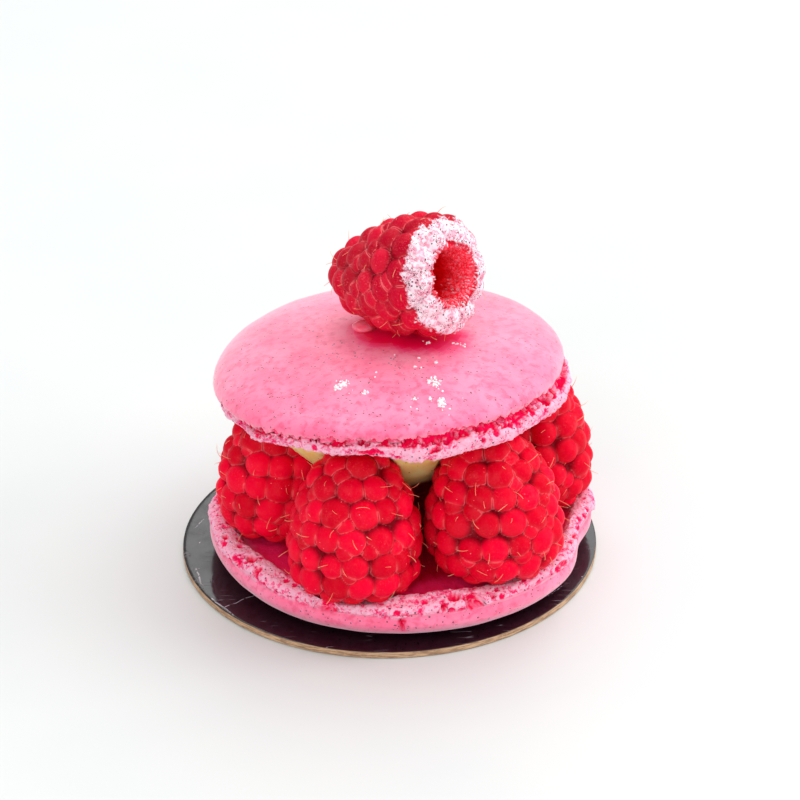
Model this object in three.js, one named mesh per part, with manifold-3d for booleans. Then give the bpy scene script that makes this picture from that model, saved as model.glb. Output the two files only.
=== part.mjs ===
// A raspberry macaron as sold singly: two almond shells, a ring of six upright raspberries
// round a custard middle, and one raspberry lying on top, all on a round pastry card.
// Millimetres, +Z up. The origin is the centre of the card's underside.
import * as THREE from 'three';
import { mergeVertices } from 'three/addons/utils/BufferGeometryUtils.js';
import { ConvexGeometry } from 'three/addons/geometries/ConvexGeometry.js';
import Module from 'manifold-3d';

const wasm = await Module();
wasm.setup();

// ---- Driving dimensions ----

const GAP = 0.3;            // air left between pieces that lean on each other

const CARD = { radius: 40, thickness: 1.5, sides: 54 };

// Heights are above the shell's own flat face, which rests on the card.
const LOWER_SHELL = {
  centre: [2.5, -1.3],
  lift: 0.1,
  radius: 37,               // the smooth skin at its widest
  flatRadius: 29.5,
  skinTop: 5.9,
  rimTop: 9.0,              // crest of the ruffled foot
  rimInner: 32.7,
  floor: 6.5,               // the flat side that carries the filling
  frontDip: 0.9,            // the front of the foot is lower by this
};

// Heights are from the widest level of the skin; the shell leans by the two tilts. The foot
// droops by its depth between the full and hold angles, in degrees from +X.
const UPPER_SHELL = {
  centre: [0.2, -1.0, 40.2],
  tilt: { x: -2.8, y: -3.3 },
  radius: 33,
  dome: 7.6,
  underside: -3.3,
  foot: -4.0,               // the lowest ruffle
  frontLift: 1.9,           // the foot rides up by this at the front
  footShift: 0.9,           // the foot sits this much toward +X under the dome
  droop: { from: -97, full: -81, hold: -25, end: 35, depth: 1.8 },
};

const SHELL_SIDES = 42;
const RUFFLE = 0.4;         // how far the foot wanders in and out
const UNDULATION = 0.18;    // slow waves of the smooth skin

// Bites and tears of the foot: angle in degrees, radius, height, half sizes across, deep, tall.
const LOWER_TEARS = [
  { angle: -113, radius: 36.6, height: 7.0, half: [2.6, 1.7, 1.2] },
  { angle: -69, radius: 36.2, height: 7.6, half: [2.0, 2.6, 1.5] },
  { angle: -36, radius: 37.0, height: 7.3, half: [2.4, 1.4, 0.9] },
  { angle: -148, radius: 37.0, height: 7.9, half: [1.9, 1.5, 1.0] },
  { angle: 74, radius: 37.0, height: 7.4, half: [2.5, 1.6, 1.1] },
];
const UPPER_TEARS = [
  { angle: -139, radius: 33.2, height: -1.5, half: [2.3, 1.6, 0.9] },
  { angle: -96, radius: 33.0, height: -1.3, half: [3.0, 1.3, 0.7] },
  { angle: -43, radius: 33.2, height: -2.0, half: [2.2, 1.5, 1.0] },
  { angle: 18, radius: 33.0, height: -1.6, half: [2.6, 1.4, 0.9] },
  { angle: 101, radius: 33.0, height: -1.7, half: [2.4, 1.5, 0.9] },
];

// A berry stands on its open end: the foot and tip of its axis, its radius, its own twist.
const RING_BERRIES = [
  { foot: [-6.5, -28.5, 8.5], tip: [-6.0, -24.4, 36.7], radius: 12.7, twist: 10 },
  { foot: [19.9, -21.6, 9.1], tip: [18.8, -20.0, 36.9], radius: 13.2, twist: 77 },
  { foot: [28.0, 3.0, 9.1], tip: [26.8, 4.0, 37.2], radius: 11.7, twist: 31 },
  { foot: [9.4, 24.0, 9.1], tip: [8.6, 22.6, 35.4], radius: 12.2, twist: 143 },
  { foot: [-15.2, 18.4, 9.1], tip: [-13.8, 17.4, 34.8], radius: 12.0, twist: 95 },
  { foot: [-21.4, -6.0, 9.1], tip: [-20.7, -5.4, 35.3], radius: 11.5, twist: 52 },
];
const TOP_BERRY = {
  foot: [12.9, -8.8, 63.2],
  tip: [-8.6, 10.1, 54.6],
  radius: 11.5,
  twist: 20,
};
const HOLLOW = { mouth: 5.2, throat: 4.7, depth: 15.5, flare: 1.3 };

// The berry's outline: where it is widest, how wide its open end is, and how blunt its tip.
const BERRY = { widestAt: 0.3, endShare: 0.62, endCurve: 4, tipCurve: 1.9 };
const DRUPELET = { pitch: 5.45, rowShare: 0.87, depth: 1.6, jitter: 0.12, shoulders: 3 };

// Custard piped in the middle: radius at each height above the lower shell's flat side.
const CUSTARD = { foot: 14, waist: 12, belly: 19, crown: 24, height: 28.2, sides: 22 };
const GLUE_DROP = { centre: [-4.4, -0.9, 48.7], half: [2.0, 1.8, 0.9] };

const COLOURS = {
  card: 0x2a1a22,
  skin: 0xff8fb8,
  berry: 0xd80f34,
  custard: 0xe2b778,
  glue: 0xff5c8c,
};

// ---- Small helpers ----

// A repeatable draw between 0 and 1 for any pair of whole numbers.
function draw(seed, index) {
  const x = Math.sin(seed * 127.1 + index * 311.7) * 43758.5453;
  return x - Math.floor(x);
}

// A slow wave round a full turn, between -1 and 1, with its own character for each seed.
function wave(angle, seed, first, last) {
  let sum = 0;
  for (let k = first; k <= last; k += 1) {
    sum += Math.cos(k * angle + 2 * Math.PI * draw(seed, k));
  }
  return sum / Math.sqrt(last - first + 1);
}

function finish(name, colour, roughness) {
  return { name, material: new THREE.MeshStandardMaterial({ color: colour, roughness, metalness: 0 }) };
}

function toMesh(geometry, { name, material }) {
  geometry.computeVertexNormals();
  const mesh = new THREE.Mesh(geometry, material);
  mesh.name = name;
  return mesh;
}

// Joins the vertices that meet and drops the triangles that have no area left.
function weld(geometry) {
  ['normal', 'uv'].forEach((extra) => geometry.deleteAttribute(extra));
  const welded = mergeVertices(geometry, 1e-4);
  const index = welded.getIndex().array;
  const kept = [];
  for (let i = 0; i < index.length; i += 3) {
    const [a, b, c] = [index[i], index[i + 1], index[i + 2]];
    if (a !== b && b !== c && c !== a) {
      kept.push(a, b, c);
    }
  }
  welded.setIndex(kept);
  return welded;
}

function toSolid(geometry) {
  const welded = weld(geometry);
  return new wasm.Manifold(new wasm.Mesh({
    numProp: 3,
    vertProperties: new Float32Array(welded.getAttribute('position').array),
    triVerts: new Uint32Array(welded.getIndex().array),
  }));
}

function toGeometry(solid) {
  const { vertProperties, triVerts } = solid.getMesh();
  const geometry = new THREE.BufferGeometry();
  geometry.setAttribute('position', new THREE.BufferAttribute(new Float32Array(vertProperties), 3));
  geometry.setIndex(new THREE.BufferAttribute(new Uint32Array(triVerts), 1));
  return geometry;
}

// Turns a profile of [radius, height] round +Z, then lets shape(radius, height, angle) bend it.
function revolve(profile, sides, shape) {
  const outline = profile.map(([radius, height]) => new THREE.Vector2(radius, height));
  const geometry = new THREE.LatheGeometry(outline, sides);
  geometry.rotateX(Math.PI / 2);
  const place = geometry.getAttribute('position');
  for (let i = 0; i < place.count; i += 1) {
    const radius = Math.hypot(place.getX(i), place.getY(i));
    const angle = Math.atan2(place.getY(i), place.getX(i));
    const bent = shape(radius, place.getZ(i), angle);
    place.setXYZ(i, bent.radius * Math.cos(angle), bent.radius * Math.sin(angle), bent.height);
  }
  return geometry;
}

// ---- Card ----

function buildCard() {
  const disc = new THREE.CylinderGeometry(CARD.radius, CARD.radius, CARD.thickness, CARD.sides);
  disc.rotateX(Math.PI / 2);
  const card = toMesh(disc, finish('card', COLOURS.card, 0.3));
  card.position.z = CARD.thickness / 2;
  return card;
}

// ---- Shells ----

// One at the very front, toward -Y, falling smoothly to nothing at the sides.
function frontness(angle) {
  return Math.max(0, -Math.sin(angle)) ** 2;
}

// One where the foot droops fully, falling smoothly to nothing at the from and end angles.
function drooping(angle, { from, full, hold, end }) {
  const degrees = THREE.MathUtils.radToDeg(angle);
  return THREE.MathUtils.smoothstep(degrees, from, full) - THREE.MathUtils.smoothstep(degrees, hold, end);
}

// Cuts each tear, an upright lens of the given half sizes, out of a shell's edge.
function tear(geometry, tears) {
  let solid = toSolid(geometry);
  for (const { angle, radius, height, half } of tears) {
    const lens = new THREE.IcosahedronGeometry(1, 1);
    lens.scale(half[1], half[0], half[2]);
    lens.rotateZ(THREE.MathUtils.degToRad(angle));
    const reach = radius + half[1] * 0.25;
    const theta = THREE.MathUtils.degToRad(angle);
    lens.translate(reach * Math.cos(theta), reach * Math.sin(theta), height);
    solid = solid.subtract(toSolid(lens));
  }
  return toGeometry(solid);
}

function buildLowerShell() {
  const s = LOWER_SHELL;
  const profile = [
    [0, 0],
    [s.flatRadius, 0],
    [s.radius - 3.3, 0.8],
    [s.radius - 1.2, 2.4],
    [s.radius - 0.1, 4.4],
    [s.radius - 0.4, s.skinTop],
    [s.radius - 1.3, s.skinTop + 0.5],
    [s.radius - 0.1, s.skinTop + 1.3],
    [s.radius - 0.5, s.rimTop - 0.5],
    [s.radius - 2.0, s.rimTop],
    [s.rimInner, s.rimTop - 0.5],
    [s.rimInner - 1.4, s.floor + 0.3],
    [s.rimInner - 4.5, s.floor],
    [0, s.floor],
  ];
  const shape = (radius, height, angle) => {
    const outer = THREE.MathUtils.smoothstep(radius, s.rimInner - 0.5, s.radius - 1.5);
    const ruffled = height > s.skinTop ? outer : 0;
    const skin = height > 0 ? outer * UNDULATION * wave(angle, 3, 2, 5) : 0;
    const ruffle = ruffled * RUFFLE * wave(angle, 11, 5, 19);
    const crest = ruffled * 0.3 * wave(angle, 17, 4, 15);
    const dip = outer * s.frontDip * frontness(angle) * (height / s.rimTop);
    return { radius: radius + skin + ruffle, height: height + crest - dip };
  };
  const base = [...s.centre, CARD.thickness + s.lift];
  const body = tear(revolve(profile, SHELL_SIDES, shape), LOWER_TEARS).translate(...base);
  return toMesh(pressedBack(body), finish('shell_bottom', COLOURS.skin, 0.7));
}

function buildUpperShell() {
  const s = UPPER_SHELL;
  const domeSteps = 7;
  const profile = [
    [0, s.underside],
    [s.radius - 5, s.underside],
    [s.radius - 2.6, s.foot],
    [s.radius - 1.0, s.foot],
    [s.radius, s.foot + 1.2],
    [s.radius - 0.4, s.foot + 2.2],
    [s.radius - 1.6, s.foot + 2.7],
    [s.radius - 0.4, -0.8],
  ];
  for (let i = 0; i < domeSteps; i += 1) {
    const lean = (Math.PI / 2) * (i / domeSteps);
    profile.push([s.radius * Math.cos(lean) ** 0.85, s.dome * Math.sin(lean)]);
  }
  profile.push([0, s.dome]);
  const shape = (radius, height, angle) => {
    const outer = THREE.MathUtils.smoothstep(radius, s.radius - 5, s.radius - 2.5);
    const ruffled = height < -1 ? outer : 0;
    const fade = 1 - THREE.MathUtils.smoothstep(height, -0.8, 0.7 * s.dome);
    const lift = outer * s.frontLift * frontness(angle) * fade;
    const low = outer * THREE.MathUtils.smoothstep(-height, 1, -s.foot);
    const sag = s.droop.depth * low * drooping(angle, s.droop);
    const rise = lift - sag + 0.3 * ruffled * wave(angle, 29, 4, 13);
    const skin = UNDULATION * wave(angle, 5, 2, 5) * (radius / s.radius);
    const ruffle = ruffled * (RUFFLE * wave(angle, 23, 5, 19) + s.footShift * Math.cos(angle));
    return { radius: radius + (ruffled ? ruffle : skin), height: height + rise };
  };
  const shell = toMesh(
    tear(revolve(profile, SHELL_SIDES, shape), UPPER_TEARS),
    finish('shell_top', COLOURS.skin, 0.65),
  );
  shell.position.set(...s.centre);
  shell.rotation.set(THREE.MathUtils.degToRad(s.tilt.x), THREE.MathUtils.degToRad(s.tilt.y), 0, 'YXZ');
  return shell;
}

// ---- Raspberries ----

function berryRadius(share, radius) {
  const b = BERRY;
  if (share < b.widestAt) {
    return radius * (1 - (1 - b.endShare) * ((b.widestAt - share) / b.widestAt) ** b.endCurve);
  }
  return radius * Math.sqrt(1 - ((share - b.widestAt) / (1 - b.widestAt)) ** b.tipCurve);
}

// The outline as points spaced along its own length, from the middle of the open end to the tip.
function berryOutline({ radius, length }) {
  const outline = [{ along: 0, r: 0, z: 0 }];
  const steps = 160;
  for (let i = 0; i <= steps; i += 1) {
    const share = 1 - (1 - i / steps) ** 2;
    const last = outline[outline.length - 1];
    const [r, z] = [berryRadius(share, radius), share * length];
    outline.push({ along: last.along + Math.hypot(r - last.r, z - last.z), r, z });
  }
  return outline;
}

// The point of the outline at a distance along it, with the direction that faces out.
function outlineAt(outline, along) {
  let i = 1;
  while (i < outline.length - 1 && outline[i].along < along) {
    i += 1;
  }
  const [a, b] = [outline[i - 1], outline[i]];
  const part = THREE.MathUtils.clamp((along - a.along) / (b.along - a.along), 0, 1);
  const length = Math.hypot(b.r - a.r, b.z - a.z);
  return {
    r: THREE.MathUtils.lerp(a.r, b.r, part),
    z: THREE.MathUtils.lerp(a.z, b.z, part),
    out: [(b.z - a.z) / length, (a.r - b.r) / length],
  };
}

// Drupelets sit in staggered rows from the open end to the tip, each a little out of place.
function drupeletSites(outline, berry, seed) {
  const d = DRUPELET;
  const total = outline[outline.length - 1].along;
  const first = outline[1].along + 0.3 * d.pitch;
  const rows = Math.round((total - first) / (d.pitch * d.rowShare));
  const sites = [];
  for (let row = 0; row < rows; row += 1) {
    const along = first + ((total - first) * row) / rows;
    const { r } = outlineAt(outline, along);
    const count = Math.max(4, Math.round((2 * Math.PI * r) / d.pitch));
    for (let i = 0; i < count; i += 1) {
      const index = row * 40 + i;
      const stray = d.jitter * (draw(seed, index) - 0.5);
      const turn = ((i + 0.5 * (row % 2) + stray * 1.6) / count) * 2 * Math.PI;
      const shift = d.jitter * d.pitch * (draw(seed + 7, index) - 0.5);
      sites.push({ along: along + shift, angle: turn + 0.4 * row });
    }
  }
  sites.push({ along: total, angle: 0 });
  return sites;
}

// The berry's skin is meshed on a ball first: distance along the outline becomes latitude.
function onBall({ along, angle }, total) {
  const polar = (Math.PI * along) / total;
  return new THREE.Vector3(
    Math.sin(polar) * Math.cos(angle), Math.sin(polar) * Math.sin(angle), -Math.cos(polar));
}

function fromBall(direction, total) {
  return {
    along: (Math.acos(THREE.MathUtils.clamp(-direction.z, -1, 1)) * total) / Math.PI,
    angle: Math.atan2(direction.y, direction.x),
  };
}

// Corners and edges of each triangle of neighbours: the valleys between drupelets.
function valleys(directions) {
  const hull = new ConvexGeometry(directions);
  const place = hull.getAttribute('position');
  const corner = (i) => new THREE.Vector3().fromBufferAttribute(place, i);
  const pits = [];
  const seams = new Map();
  for (let i = 0; i < place.count; i += 3) {
    const [a, b, c] = [corner(i), corner(i + 1), corner(i + 2)];
    const normal = new THREE.Triangle(a, b, c).getNormal(new THREE.Vector3());
    pits.push(normal);
    for (const [p, q] of [[a, b], [b, c], [c, a]]) {
      const middle = p.clone().add(q).normalize();
      seams.set(middle.toArray().map((v) => v.toFixed(3)).join(), middle);
    }
  }
  return { pits, seams: [...seams.values()] };
}

// The top of one drupelet: a few points round its middle, or one point right at the berry's tip.
function drupeletTop(site, outline, total) {
  const d = DRUPELET;
  const { r } = outlineAt(outline, site.along);
  const shoulder = 0.23 * d.pitch;
  if (r < 1.5 * shoulder) {
    return [{ ...site, sunk: 0 }];
  }
  return Array.from({ length: d.shoulders }, (_, i) => {
    const turn = (2 * Math.PI * i) / d.shoulders;
    return {
      along: Math.min(total, site.along + shoulder * Math.cos(turn)),
      angle: site.angle + (shoulder * Math.sin(turn)) / r,
      sunk: 0.1,
    };
  });
}

// One closed berry: rounded drupelets, with valleys pressed in between them.
function berryBody(berry, seed) {
  const d = DRUPELET;
  const outline = berryOutline(berry);
  const total = outline[outline.length - 1].along;
  const end = outline[1].along;
  const sites = drupeletSites(outline, berry, seed);
  const flat = [{ along: 0, angle: 0 }];
  for (let i = 0; i < 8; i += 1) {
    flat.push({ along: end * 0.62, angle: (i * Math.PI) / 4 });
  }
  const directions = [...flat, ...sites].map((site) => onBall(site, total));
  const { pits, seams } = valleys(directions);
  const points = flat.map((site) => ({ ...site, sunk: 0 }));
  sites.forEach((site) => points.push(...drupeletTop(site, outline, total)));
  seams.forEach((seam) => points.push({ ...fromBall(seam, total), sunk: 0.8 }));
  pits.forEach((pit) => points.push({ ...fromBall(pit, total), sunk: 1.1 }));
  const kept = points.filter(({ along, sunk }) => sunk === 0 || along > end * 0.8);
  return skin(kept, outline, total);
}

// Meshes the points on a ball, then moves each to its place on the berry.
function skin(points, outline, total) {
  const directions = points.map((point) => onBall(point, total));
  const places = points.map(({ along, angle, sunk }) => {
    const { r, z, out } = outlineAt(outline, along);
    const depth = sunk * DRUPELET.depth;
    const radius = Math.max(0, r - depth * out[0]);
    return [radius * Math.cos(angle), radius * Math.sin(angle), z - depth * out[1]];
  });
  const hull = weld(new ConvexGeometry(directions));
  const corners = hull.getAttribute('position');
  for (let i = 0; i < corners.count; i += 1) {
    const corner = new THREE.Vector3().fromBufferAttribute(corners, i);
    const gaps = directions.map((direction) => direction.distanceToSquared(corner));
    corners.setXYZ(i, ...places[gaps.indexOf(Math.min(...gaps))]);
  }
  return hull;
}

// The hollow left where the berry came off its core, widest at its mouth.
function berryHollow() {
  const h = HOLLOW;
  const profile = [
    [0, -2],
    [h.mouth + h.flare, -2],
    [h.mouth + h.flare, 0],
    [h.mouth, h.flare],
    [h.throat, h.depth * 0.4],
    [h.throat * 0.72, h.depth * 0.8],
    [h.throat * 0.35, h.depth * 0.97],
    [0, h.depth],
  ];
  return revolve(profile, 16, (radius, height) => ({ radius, height }));
}

function placeBerry(mesh, { foot, tip, twist }) {
  const axis = new THREE.Vector3(...tip).sub(new THREE.Vector3(...foot)).normalize();
  mesh.position.set(...foot);
  mesh.quaternion.setFromUnitVectors(new THREE.Vector3(0, 0, 1), axis);
  mesh.rotateZ(THREE.MathUtils.degToRad(twist));
  return mesh;
}

function withLength(berry) {
  const length = new THREE.Vector3(...berry.tip).distanceTo(new THREE.Vector3(...berry.foot));
  return { ...berry, length };
}

function buildRingBerry(berry, number) {
  const body = berryBody(withLength(berry), 10 * number);
  const mesh = toMesh(weld(body), finish(`berry_${number}`, COLOURS.berry, 0.5));
  return placeBerry(mesh, berry);
}

function buildTopBerry() {
  const body = toSolid(berryBody(withLength(TOP_BERRY), 90));
  const hollowed = body.subtract(toSolid(berryHollow()));
  return placeBerry(toMesh(toGeometry(hollowed), finish('berry_top', COLOURS.berry, 0.5)), TOP_BERRY);
}

// ---- Custard and glue ----

// The plain outside of a berry grown by the gap, to press the custard back from it.
function berryRoom(berry) {
  const sized = withLength(berry);
  const grown = { radius: sized.radius + GAP, length: sized.length + 2 * GAP };
  const outline = [[0, 0]];
  for (const share of [0, 0.06, 0.16, 0.3, 0.5, 0.68, 0.84, 0.95, 1]) {
    outline.push([berryRadius(share, grown.radius), share * grown.length]);
  }
  const room = new THREE.Mesh(revolve(outline, 16, (radius, height) => ({ radius, height })));
  const axis = new THREE.Vector3(...berry.tip).sub(new THREE.Vector3(...berry.foot)).normalize();
  placeBerry(room, berry);
  room.position.addScaledVector(axis, -GAP);
  room.updateMatrix();
  room.geometry.applyMatrix4(room.matrix);
  return room.geometry;
}

// Makes room in a soft piece for the berries that press into it.
function pressedBack(geometry) {
  const rooms = RING_BERRIES.map((berry) => toSolid(berryRoom(berry)));
  return toGeometry(rooms.reduce((rest, room) => rest.subtract(room), toSolid(geometry)));
}

function buildCustard() {
  const c = CUSTARD;
  const profile = [
    [0, 0],
    [c.foot, 0],
    [c.waist, c.height * 0.3],
    [c.belly, c.height * 0.62],
    [c.crown - 1.2, c.height * 0.8],
    [c.crown, c.height * 0.93],
    [c.crown - 1.5, c.height],
    [0, c.height],
  ];
  const floor = CARD.thickness + LOWER_SHELL.lift + LOWER_SHELL.floor;
  const leanX = Math.tan(THREE.MathUtils.degToRad(-UPPER_SHELL.tilt.y));
  const leanY = Math.tan(THREE.MathUtils.degToRad(UPPER_SHELL.tilt.x));
  const piped = revolve(profile, c.sides, (radius, height, angle) => {
    const swell = radius > 0 ? 0.5 * wave(angle, 41, 2, 5) : 0;
    const slope = radius * (leanX * Math.cos(angle) + leanY * Math.sin(angle));
    return { radius: radius + swell, height: height + (height / c.height) * slope };
  });
  piped.translate(0, 0, floor + GAP);
  return toMesh(pressedBack(piped), finish('cream', COLOURS.custard, 0.55));
}

function buildGlueDrop() {
  const drop = new THREE.IcosahedronGeometry(1, 1);
  drop.scale(...GLUE_DROP.half);
  const mesh = toMesh(weld(drop), finish('glue_drop', COLOURS.glue, 0.15));
  mesh.position.set(...GLUE_DROP.centre);
  return mesh;
}

// ---- The whole macaron ----

const macaron = new THREE.Group();
macaron.add(buildCard(), buildLowerShell(), buildCustard());
RING_BERRIES.forEach((berry, i) => macaron.add(buildRingBerry(berry, i + 1)));
macaron.add(buildUpperShell(), buildTopBerry(), buildGlueDrop());

export default macaron;
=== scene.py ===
"""A raspberry macaron on its pastry card, modelled for a close look.

Sizes are in millimetres until a mesh is made, and in metres after that. +Z is up through
the stack, and the origin is the middle of the card's underside.
"""

import logging
import math
from dataclasses import dataclass, field
from enum import Enum, IntEnum

import bpy
import numpy as np
from mathutils import Matrix, Quaternion, Vector
from mathutils.bvhtree import BVHTree


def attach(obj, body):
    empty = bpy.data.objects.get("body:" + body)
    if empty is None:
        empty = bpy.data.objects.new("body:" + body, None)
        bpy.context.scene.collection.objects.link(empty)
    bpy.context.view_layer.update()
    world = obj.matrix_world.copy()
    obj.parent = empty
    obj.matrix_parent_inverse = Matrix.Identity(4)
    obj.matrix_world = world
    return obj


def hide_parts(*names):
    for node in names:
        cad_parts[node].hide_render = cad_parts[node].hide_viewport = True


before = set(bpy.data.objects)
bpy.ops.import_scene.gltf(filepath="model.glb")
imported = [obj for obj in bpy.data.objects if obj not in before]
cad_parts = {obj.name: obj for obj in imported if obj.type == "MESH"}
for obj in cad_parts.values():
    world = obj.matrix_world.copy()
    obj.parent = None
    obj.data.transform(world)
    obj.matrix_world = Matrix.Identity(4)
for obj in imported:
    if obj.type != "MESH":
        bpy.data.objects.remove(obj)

log = logging.getLogger("macaron")

Array = np.ndarray
Colour = tuple[int, int, int]
Point = tuple[float, float, float]
Socket = bpy.types.NodeSocket

MM = 0.001
BODY = "root"
BERRY_GAP = 0.12
NOWHERE = -9.0
FAR_SEAM = 3


# ---- Numbers and noise ----


def draw(seed: float, index: Array | float) -> Array | float:
    """A repeatable draw between 0 and 1.

    Args:
        seed: The row of draws.
        index: Which draw of that row.

    Returns:
        The fractional part of a large sine.
    """
    value = np.sin(seed * 127.1 + np.asarray(index, float) * 311.7) * 43758.5453
    return value - np.floor(value)


def wave(angle: Array, seed: float, first: int, last: int) -> Array:
    """A slow wave round a full turn, with its own character for each seed.

    Args:
        angle: Where on the turn, in radians.
        seed: The wave's character.
        first: Fewest humps in a turn.
        last: Most humps in a turn.

    Returns:
        The wave's height, about -1 to 1.
    """
    total = sum(np.cos(k * angle + 2 * math.pi * draw(seed, k)) for k in range(first, last + 1))
    return total / math.sqrt(last - first + 1)


def smooth(value: Array, low: float, high: float) -> Array:
    """Rises smoothly from 0 at low to 1 at high.

    Args:
        value: What is measured.
        low: Where the rise starts.
        high: Where the rise ends.

    Returns:
        A share between 0 and 1.
    """
    share = np.clip((value - low) / (high - low), 0, 1)
    return share * share * (3 - 2 * share)


class Grain:
    """Smooth seeded noise in space."""

    CORNERS = [(x, y, z) for x in (0, 1) for y in (0, 1) for z in (0, 1)]
    AROUND = [(x, y, z) for x in (-1, 0, 1) for y in (-1, 0, 1) for z in (-1, 0, 1)]

    def __init__(self, seed: int) -> None:
        """Shuffles the noise.

        Args:
            seed: The noise's character.
        """
        dice = np.random.default_rng(seed)
        self.order = dice.permutation(256)
        slopes = dice.normal(size=(256, 3))
        self.slopes = slopes / np.linalg.norm(slopes, axis=1)[:, None]
        self.strays = dice.random((256, 4))

    def key(self, cell: Array) -> Array:
        """The number from 0 to 255 that belongs to each cell."""
        x, y, z = (cell & 255).T
        return self.order[(self.order[(self.order[x] + y) & 255] + z) & 255]

    def at(self, points: Array, size: float) -> Array:
        """One layer of noise.

        Args:
            points: Places, n by 3, in millimetres.
            size: Width of one hump, in millimetres.

        Returns:
            n heights, about -1 to 1.
        """
        scaled = points / size
        cell = np.floor(scaled).astype(int)
        part = scaled - cell
        fade = part**3 * (part * (part * 6 - 15) + 10)
        total = np.zeros(len(points))
        for corner in self.CORNERS:
            step = np.array(corner)
            slope = self.slopes[self.key(cell + step)]
            weight = np.where(step, fade, 1 - fade).prod(1)
            total += weight * ((part - step) * slope).sum(1)
        return total * 1.7

    def layered(self, points: Array, size: float, layers: int, keep: float = 0.55) -> Array:
        """Several layers of noise, each half the size of the one before.

        Args:
            points: Places, n by 3, in millimetres.
            size: Width of the widest humps.
            layers: How many layers.
            keep: Height of each layer as a share of the one before.

        Returns:
            n heights, about -1 to 1.
        """
        total = sum(keep**i * self.at(points + 37.7 * i, size / 2**i) for i in range(layers))
        return total / sum(keep**i for i in range(layers))

    def bubbles(self, points: Array, size: float) -> tuple[Array, Array]:
        """Scattered round cells, such as the bubbles of a crumb.

        Args:
            points: Places, n by 3, in millimetres.
            size: Usual distance between bubbles.

        Returns:
            The distance to the nearest middle, in millimetres, and that bubble's own draw.
        """
        scaled = points / size
        cell = np.floor(scaled).astype(int)
        nearest = np.full(len(points), 9.0)
        own = np.zeros(len(points))
        for around in self.AROUND:
            other = cell + np.array(around)
            stray = self.strays[self.key(other)]
            gap = np.linalg.norm(other + stray[:, :3] - scaled, axis=1)
            closer = gap < nearest
            nearest = np.where(closer, gap, nearest)
            own = np.where(closer, stray[:, 3], own)
        return nearest * size, own


# ---- Bodies and pieces ----


@dataclass
class Body:
    """A closed mesh before it becomes a piece: points in millimetres, faces and marks."""

    points: Array
    faces: list[list[int]]
    marks: dict[str, Array] = field(default_factory=dict)

    def placed(self, matrix: Matrix) -> "Body":
        """The same body, turned and moved by a matrix in millimetres."""
        turned = np.array(matrix)
        return Body(self.points @ turned[:3, :3].T + turned[:3, 3], self.faces, self.marks)

    def piece(
        self,
        name: str,
        materials: list[bpy.types.Material],
        crease: float = 180.0,
        share: Array | None = None,
    ) -> bpy.types.Object:
        """Makes the Blender object.

        Args:
            name: The piece's name.
            materials: What it is finished in.
            crease: Edges sharper than this many degrees stay sharp.
            share: From 0 to 1 at each point: how far down the list a face takes its material.

        Returns:
            The new object, in metres, at the origin.
        """
        mesh = bpy.data.meshes.new(name)
        mesh.from_pydata((self.points * MM).tolist(), [], self.faces)
        for mark, values in self.marks.items():
            layer = mesh.attributes.new(mark, "FLOAT", "POINT")
            layer.data.foreach_set("value", np.ascontiguousarray(values, np.float32))
        mesh.shade_smooth()
        if crease < 180:
            mesh.set_sharp_from_angle(angle=math.radians(crease))
        for material in materials:
            mesh.materials.append(material)
        if share is not None:
            last = len(materials) - 1
            chosen = [round(last * share[face].mean()) for face in self.faces]
            mesh.polygons.foreach_set("material_index", chosen)
        mesh.validate()
        made = bpy.data.objects.new(name, mesh)
        bpy.context.scene.collection.objects.link(made)
        log.info("%s: %d points, %d faces", name, len(mesh.vertices), len(mesh.polygons))
        return made


def joined(bodies: list[Body]) -> Body:
    """One body of many loose ones.

    Args:
        bodies: At least one body, all with the same marks.

    Returns:
        The bodies side by side in one mesh.
    """
    starts = np.cumsum([0] + [len(body.points) for body in bodies])
    faces = [[i + start for i in face] for body, start in zip(bodies, starts) for face in body.faces]
    marks = {key: np.concatenate([body.marks[key] for body in bodies]) for key in bodies[0].marks}
    return Body(np.concatenate([body.points for body in bodies]), faces, marks)


def trace(stops: list[tuple[float, float, int]]) -> Array:
    """A smooth outline through a few stops.

    Args:
        stops: Radius, height, and how many steps lead from this stop to the next.

    Returns:
        The outline, rows by 2.
    """
    corners = np.array([stop[:2] for stop in stops], float)
    legs = np.diff(corners, axis=0)
    length = np.linalg.norm(legs, axis=1)[:, None]
    way = legs / length
    bend = np.vstack([way[:1], way[:-1] * length[1:] + way[1:] * length[:-1], way[-1:]])
    reach = np.minimum(np.vstack([length[:1], length]), np.vstack([length, length[-1:]]))
    pull = bend / np.linalg.norm(bend, axis=1)[:, None] * reach
    rows = []
    for i, (_, _, steps) in enumerate(stops[:-1]):
        t = np.linspace(0, 1, steps, endpoint=False)[:, None]
        ease = t * t * (3 - 2 * t)
        start, end = t * (1 - t) ** 2, t * t * (t - 1)
        rows.append(corners[i] + ease * legs[i] + start * pull[i] + end * pull[i + 1])
    outline = np.vstack(rows + [corners[-1:]])
    outline[:, 0] = np.maximum(outline[:, 0], 0)
    return outline


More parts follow.
